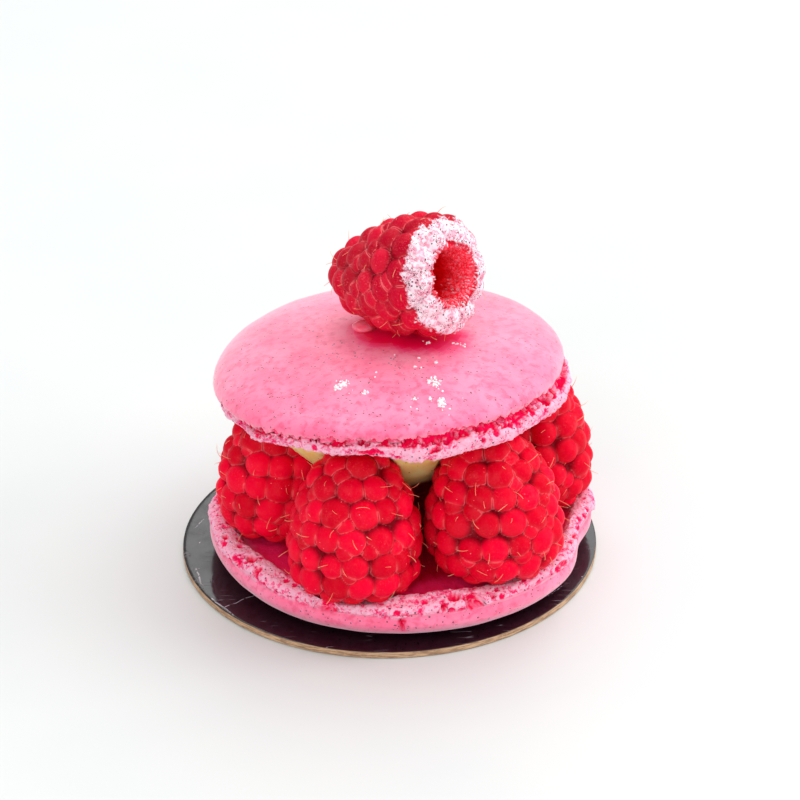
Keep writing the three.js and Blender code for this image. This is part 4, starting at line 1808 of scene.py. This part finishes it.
@dataclass
class Custard:
    """The custard piped in the middle, filling the gaps between the berries."""

    foot: float = 14
    waist: float = 12
    belly: float = 19
    crown: float = 24
    height: float = 28.2
    floor: float = 8.4
    tilt: tuple[float, float] = (-2.8, -3.3)
    juice_top: float = 23.0
    columns: int = 240

    def build(self, finish: bpy.types.Material) -> bpy.types.Object:
        """Makes the custard.

        Args:
            finish: Its finish.

        Returns:
            The piece.
        """
        h = self.height
        stops = [
            (0, 0, 4), (self.foot - 1, 0, 3), (self.foot, 0.8, 8), (self.waist, h * 0.3, 12),
            (self.belly, h * 0.62, 10), (self.crown - 1.2, h * 0.8, 7), (self.crown, h * 0.93, 5),
            (self.crown - 1.2, h - 0.05, 6), (0, h, 1),
        ]
        turned = Turned(trace(stops), self.columns)
        slope_x = math.tan(math.radians(-self.tilt[1]))
        slope_y = math.tan(math.radians(self.tilt[0]))
        swell = 0.5 * wave(turned.angle, 41, 2, 5) * smooth(turned.r, 0, 5)
        slope = turned.r * (slope_x * np.cos(turned.angle) + slope_y * np.sin(turned.angle))
        turned.z = turned.z + turned.z / h * slope + self.floor
        grain = Grain(5).layered(turned.points().reshape(-1, 3), 5, 3).reshape(turned.r.shape)
        turned.r = turned.r + swell + 0.25 * grain * smooth(turned.r, 2, 8)
        self.make_room(turned)
        # Painted shade: the custard turns deep red below this height.
        juice = smooth(self.juice_top - turned.z + 2.2 * grain, -1.6, 1.6)
        return own(turned.body(juice=juice).piece("custard", [finish]), "custard", "cream")

    def make_room(self, turned: Turned) -> None:
        """Stops the custard where it meets a berry.

        Args:
            turned: The custard, which is changed.
        """
        for berry in RING:
            foot, axis = np.array(berry.foot), np.array(berry.axis)
            along = (turned.z - foot[2]) / axis[2]
            share = np.clip(along / berry.length, 0, 1)
            inside = (along > -0.5) & (along < berry.length)
            radius = np.where(inside, berry.form.radius_at(share, berry.radius) - 0.35, 0)
            x, y = foot[0] + along * axis[0], foot[1] + along * axis[1]
            ahead = x * np.cos(turned.angle) + y * np.sin(turned.angle)
            room = radius**2 - (x**2 + y**2 - ahead**2)
            meets = (room > 0) & (ahead > 0)
            limit = ahead - np.sqrt(np.maximum(room, 0))
            turned.r = np.where(meets, np.minimum(turned.r, np.maximum(limit, 0.5)), turned.r)


@dataclass
class GlueDrop:
    """The drop of set gel that holds the top berry."""

    centre: Point = (-4.4, -0.9, 48.7)
    half: Point = (2.0, 1.8, 0.9)

    def build(self, finish: bpy.types.Material) -> bpy.types.Object:
        """Makes the drop.

        Args:
            finish: Its finish.

        Returns:
            The piece.
        """
        lean = np.linspace(-math.pi / 2, math.pi / 2, 25)
        turned = Turned(np.column_stack([np.cos(lean), np.sin(lean)]), 40)
        points = turned.points().reshape(-1, 3)
        turned.push(0.12 * Grain(8).layered(points, 0.9, 2).reshape(turned.r.shape))
        body = turned.body()
        slump = 1 + 0.18 * smooth(-body.points[:, 2], -0.2, 1)
        body.points = body.points * np.column_stack([slump, slump, np.ones_like(slump)])
        body.points = body.points * np.array(self.half) * 0.97 + np.array(self.centre)
        return own(body.piece("glue_blob", [finish]), "sugar_gel", "glue_drop")


@dataclass
class PastryCard:
    """The round board that the macaron is sold on."""

    radius: float = 40
    thickness: float = 1.5
    columns: int = 360

    def build(self, finish: bpy.types.Material) -> bpy.types.Object:
        """Makes the card.

        Args:
            finish: Its finish.

        Returns:
            The piece.
        """
        r, t = self.radius, self.thickness
        stops = [
            (0, 0, 6), (r - 0.6, 0, 2), (r - 0.15, 0.08, 2), (r - 0.02, 0.3, 5), (r - 0.03, t - 0.25, 2),
            (r - 0.12, t - 0.08, 2), (r - 0.35, t - 0.01, 2), (r - 1.2, t, 8), (0, t, 1),
        ]
        turned = Turned(trace(stops), self.columns)
        film = smooth(turned.z, t - 0.2, t - 0.1) * smooth(turned.r.max() - turned.r, -1, -0.5)
        side = smooth(turned.r, r - 0.3, r - 0.1) * (1 - film)
        points = turned.points().reshape(-1, 3) * np.array([1, 1, 4])
        rough = Grain(6).layered(points, 1.4, 3, 0.7).reshape(turned.r.shape)
        turned.r = turned.r - side * 0.06 * (1 + rough)
        return own(turned.body(film=film).piece("pastry_card", [finish], 50), "pastry_card", "card")


@dataclass(frozen=True)
class SugarSpot:
    """A little spill of icing sugar: where, how wide, and how many crystals."""

    x: float
    y: float
    spread: float
    count: int


@dataclass
class IcingSugar:
    """Crystals of icing sugar on the dome, and more of them round the top berry's open end."""

    spots: list[SugarSpot]
    grain: tuple[float, float] = (0.08, 0.34)
    seed: int = 12

    def crystal(self, dice: np.random.Generator, radius: float) -> Body:
        """One crystal: a rough ball with flats.

        Args:
            dice: Where its shape comes from.
            radius: Its mean radius.

        Returns:
            A closed body round the origin.
        """
        lean = np.linspace(-math.pi / 2, math.pi / 2, 5)
        turned = Turned(np.column_stack([np.cos(lean), np.sin(lean)]), 6)
        body = turned.body()
        body.points = body.points * radius * dice.uniform(0.6, 1.4, (len(body.points), 1))
        body.points = body.points * dice.uniform(0.5, 1.3, 3)
        return body

    def build(self, dome: bpy.types.Object, finish: bpy.types.Material) -> bpy.types.Object:
        """Scatters the crystals on the dome.

        Args:
            dome: The upper shell.
            finish: The sugar's finish.

        Returns:
            The piece.
        """
        dice = np.random.default_rng(self.seed)
        mesh = dome.data
        tree = BVHTree.FromPolygons([v.co for v in mesh.vertices], [p.vertices for p in mesh.polygons])
        crystals = []
        for spot in self.spots:
            for _ in range(spot.count):
                x, y = dice.normal((spot.x, spot.y), spot.spread)
                hit = tree.ray_cast(Vector((x, y, 100)) * MM, Vector((0, 0, -1)))[0]
                radius = self.grain[0] + (self.grain[1] - self.grain[0]) * dice.random() ** 2
                body = self.crystal(dice, radius)
                body.points = body.points + np.array(hit) / MM + np.array([0, 0, radius * 0.2])
                crystals.append(body)
        return own(joined(crystals).piece("icing_sugar", [finish], 40), "almond_shell")


# ---- Studio ----


@dataclass
class Studio:
    """Pale floor, soft light from above and behind, and the camera."""

    target: Point = (2.4, 0.0, 32.2)
    distance: float = 700.0
    elevation: float = 29.5
    roll: float = 0.8
    lens: float = 166.3
    floor_size: float = 6.0

    def build(self, floor_finish: bpy.types.Material) -> None:
        """Makes the floor, the lights and the camera.

        Args:
            floor_finish: The floor's finish.
        """
        self.floor(floor_finish)
        self.sky(0.58)
        self.panel("window", (0.45, 0.7, 1.5), 2.4, 35.0)
        self.panel("fill", (-0.5, -1.35, 0.8), 1.3, 10.5)
        self.panel("side", (1.4, -0.1, 0.6), 1.0, 10.0)
        self.camera()
        scene = bpy.context.scene
        scene.view_settings.view_transform = "Standard"

    def floor(self, finish: bpy.types.Material) -> None:
        """Lays the floor just under the card.

        Args:
            finish: The floor's finish.
        """
        half = self.floor_size / 2
        mesh = bpy.data.meshes.new("floor")
        corners = [(-half, -half, 0), (half, -half, 0), (half, half, 0), (-half, half, 0)]
        mesh.from_pydata(corners, [], [(0, 1, 2, 3)])
        mesh.materials.append(finish)
        floor = bpy.data.objects.new("floor", mesh)
        bpy.context.scene.collection.objects.link(floor)

    def sky(self, strength: float) -> None:
        """Surrounds the macaron with even white light.

        Args:
            strength: How bright it is.
        """
        world = bpy.data.worlds.new("studio")
        world.use_nodes = True
        background = world.node_tree.nodes["Background"]
        background.inputs["Color"].default_value = (1, 1, 1, 1)
        background.inputs["Strength"].default_value = strength
        bpy.context.scene.world = world

    def panel(self, name: str, place: Point, size: float, power: float) -> None:
        """Hangs a square soft light that faces the macaron.

        Args:
            name: The light's name.
            place: Where it hangs, in metres.
            size: Its side in metres.
            power: Its power in watts.
        """
        light = bpy.data.lights.new(name, "AREA")
        light.shape = "SQUARE"
        light.size = size
        light.energy = power
        lamp = bpy.data.objects.new(name, light)
        lamp.location = place
        lamp.rotation_euler = (Vector((0, 0, 0.04)) - Vector(place)).to_track_quat("-Z", "Y").to_euler()
        bpy.context.scene.collection.objects.link(lamp)

    def camera(self) -> None:
        """Sets the camera in front, looking down on the macaron."""
        lean = math.radians(self.elevation)
        forward = Vector((0, math.cos(lean), -math.sin(lean)))
        up = Vector((0, math.sin(lean), math.cos(lean)))
        turn = Quaternion(forward, math.radians(self.roll)).to_matrix()
        right, up = turn @ Vector((1, 0, 0)), turn @ up
        axes = Matrix((right, up, -forward)).transposed().to_4x4()
        data = bpy.data.cameras.new("camera")
        data.lens = self.lens
        camera = bpy.data.objects.new("camera", data)
        place = (Vector(self.target) - forward * self.distance) * MM
        camera.matrix_world = Matrix.Translation(place) @ axes
        bpy.context.scene.collection.objects.link(camera)
        bpy.context.scene.camera = camera


ALMOND = [("dry", 0.85), ("faint", 0.68), ("tinted", 0.51), ("damp", 0.34), ("wet", 0.17), ("crumb", 0.0)]

SUGAR_SPOTS = [
    SugarSpot(-8.1, -20.0, 0.55, 60), SugarSpot(-8.9, -20.9, 0.4, 20), SugarSpot(-4.0, -23.2, 0.35, 16),
    SugarSpot(8.4, -20.6, 0.6, 44), SugarSpot(9.1, -21.7, 0.4, 18), SugarSpot(9.8, -26.4, 0.4, 34),
    SugarSpot(5.1, -25.7, 0.35, 10), SugarSpot(9.6, -27.6, 1.0, 14), SugarSpot(9.1, -14.6, 0.2, 5),
    SugarSpot(13.0, -7.5, 0.5, 5), SugarSpot(8.0, -6.9, 0.6, 4), SugarSpot(14.3, -7.9, 0.4, 5),
    SugarSpot(2.0, -20.0, 6.0, 16),
]

LOWER_TEARS = [
    Tear(-113, 36.6, 7.0, (2.6, 1.7, 1.2)),
    Tear(-69, 36.2, 7.6, (2.0, 2.6, 1.5)),
    Tear(-36, 37.0, 7.3, (2.4, 1.4, 0.9)),
    Tear(-148, 37.0, 7.9, (1.9, 1.5, 1.0)),
    Tear(74, 37.0, 7.4, (2.5, 1.6, 1.1)),
]
UPPER_TEARS = [
    Tear(-139, 33.2, -1.5, (2.3, 1.6, 0.9)),
    Tear(-96, 33.0, -1.3, (3.0, 1.3, 0.7)),
    Tear(-43, 33.2, -2.0, (2.2, 1.5, 1.0)),
    Tear(18, 33.0, -1.6, (2.6, 1.4, 0.9)),
    Tear(101, 33.0, -1.7, (2.4, 1.5, 0.9)),
]
LOWER_PITS = [
    Pit(-90.5, 36.6, 4.4, 0.5, 1.5, 1.3, 0.25),
    Pit(-90.5, 36.9, 5.2, 0.9, 0.6, 0.9),
    Pit(-74.5, 35.0, 8.6, 1.3, 1.3, 1.6),
    Pit(-78.0, 36.2, 7.4, 0.7, 1.0, 1.0),
    Pit(-86.0, 36.7, 6.5, 3.4, 0.3, 0.7),
    Pit(-144.5, 34.6, 8.8, 1.5, 1.1, 1.4),
    Pit(-139.0, 35.9, 8.3, 0.7, 1.4, 0.9),
    Pit(-161.0, 35.5, 8.9, 0.8, 0.7, 0.9),
    Pit(-101.0, 35.6, 8.6, 1.1, 0.4, 0.8),
    Pit(-63.0, 36.4, 7.6, 1.4, 0.5, 0.8),
    Pit(-48.0, 35.5, 8.8, 0.8, 1.0, 0.9),
    Pit(-22.0, 35.2, 8.9, 1.2, 0.6, 0.9),
    Pit(12.0, 35.8, 8.7, 1.0, 0.8, 1.0),
    Pit(52.0, 36.0, 8.0, 1.4, 0.7, 0.9),
    Pit(98.0, 35.4, 8.8, 1.0, 0.9, 1.0),
    Pit(131.0, 36.4, 7.6, 1.3, 0.6, 0.9),
    Pit(168.0, 35.6, 8.8, 0.8, 1.0, 0.9),
]
UPPER_PITS = [
    Pit(-169.0, 32.9, -0.85, 1.2, 0.5, 1.1),
    Pit(-160.0, 32.9, -0.65, 1.7, 0.7, 1.3),
    Pit(-151.5, 32.9, -0.45, 1.3, 0.6, 1.2),
    Pit(-143.0, 32.9, -0.3, 1.9, 0.55, 1.3),
    Pit(-134.0, 32.9, 0.05, 1.0, 0.6, 1.1),
    Pit(-127.5, 32.9, 0.25, 1.6, 0.5, 1.2),
    Pit(-117.0, 32.9, 0.5, 1.2, 0.55, 1.1),
    Pit(-107.5, 32.9, 0.75, 1.8, 0.4, 1.1),
    Pit(-92.0, 32.9, 0.95, 1.5, 0.35, 1.0),
    Pit(-64.0, 32.9, 0.65, 1.4, 0.4, 1.0),
    Pit(-33.0, 32.9, -0.35, 1.6, 0.6, 1.2),
    Pit(-17.0, 32.9, -0.6, 1.1, 0.7, 1.2),
    Pit(-7.0, 32.9, -0.75, 1.5, 0.8, 1.3),
    Pit(5.0, 32.9, -0.8, 1.0, 0.7, 1.2),
    Pit(24.0, 32.9, -0.9, 1.5, 0.6, 1.2),
    Pit(71.0, 32.9, -0.9, 1.3, 0.6, 1.1),
    Pit(118.0, 32.9, -0.9, 1.6, 0.5, 1.1),
    Pit(152.0, 32.9, -0.9, 1.2, 0.6, 1.1),
    Pit(-152.0, 32.6, -2.0, 1.3, 0.7, 1.0),
    Pit(-118.0, 32.8, -2.3, 0.9, 0.5, 0.8),
    Pit(-75.0, 32.6, -2.1, 1.4, 0.7, 1.1),
    Pit(-60.0, 32.8, -2.6, 0.8, 0.6, 0.8),
    Pit(-28.0, 32.6, -2.2, 1.5, 0.9, 1.2),
    Pit(-12.0, 32.8, -2.6, 1.0, 0.8, 1.0),
    Pit(3.0, 32.6, -2.0, 1.2, 0.7, 1.0),
    Pit(48.0, 32.7, -2.3, 1.3, 0.7, 1.0),
    Pit(84.0, 32.7, -2.1, 1.0, 0.6, 0.9),
    Pit(136.0, 32.6, -2.3, 1.4, 0.7, 1.0),
    Pit(166.0, 32.8, -2.2, 1.0, 0.7, 0.9),
]


def main() -> None:
    """Builds the macaron piece by piece."""
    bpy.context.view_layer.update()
    Studio().build(FloorFinish("pale_table").material())
    PastryCard().build(CardFinish("filmed_board").material())
    almond = [ShellFinish(f"almond_{name}", sheen, 0.3 - 0.2 * sheen).material() for name, sheen in ALMOND]
    LowerShell((2.5, -1.3, 1.6), LOWER_TEARS, LOWER_PITS, 71).build(almond)
    Custard().build(CustardFinish("custard").material())
    flesh = FleshFinish("raspberry_flesh").material()
    hair = HairFinish("raspberry_hair").material()
    for berry in RING:
        berry.build(flesh, hair)
    dome = UpperShell((0.2, -1.0, 40.2), UPPER_TEARS, UPPER_PITS, 83).build(almond)
    # A darker copy of the flesh with more painted sheen haze: painted shade and sheen on the backlit top
    # berry.
    sheen_haze = FleshFinish("raspberry_painted_shade_and_sheen", (176, 0, 34), (216, 8, 52), (128, 0, 22), sheen_haze=0.36).material()
    TOP.build(sheen_haze, hair)
    GlueDrop().build(GelFinish("sugar_gel").material())
    IcingSugar(SUGAR_SPOTS).build(dome, SugarFinish("icing_sugar").material())
    bpy.context.view_layer.update()


if __name__ == "__main__":
    logging.basicConfig(level=logging.INFO, format="%(message)s")
    main()
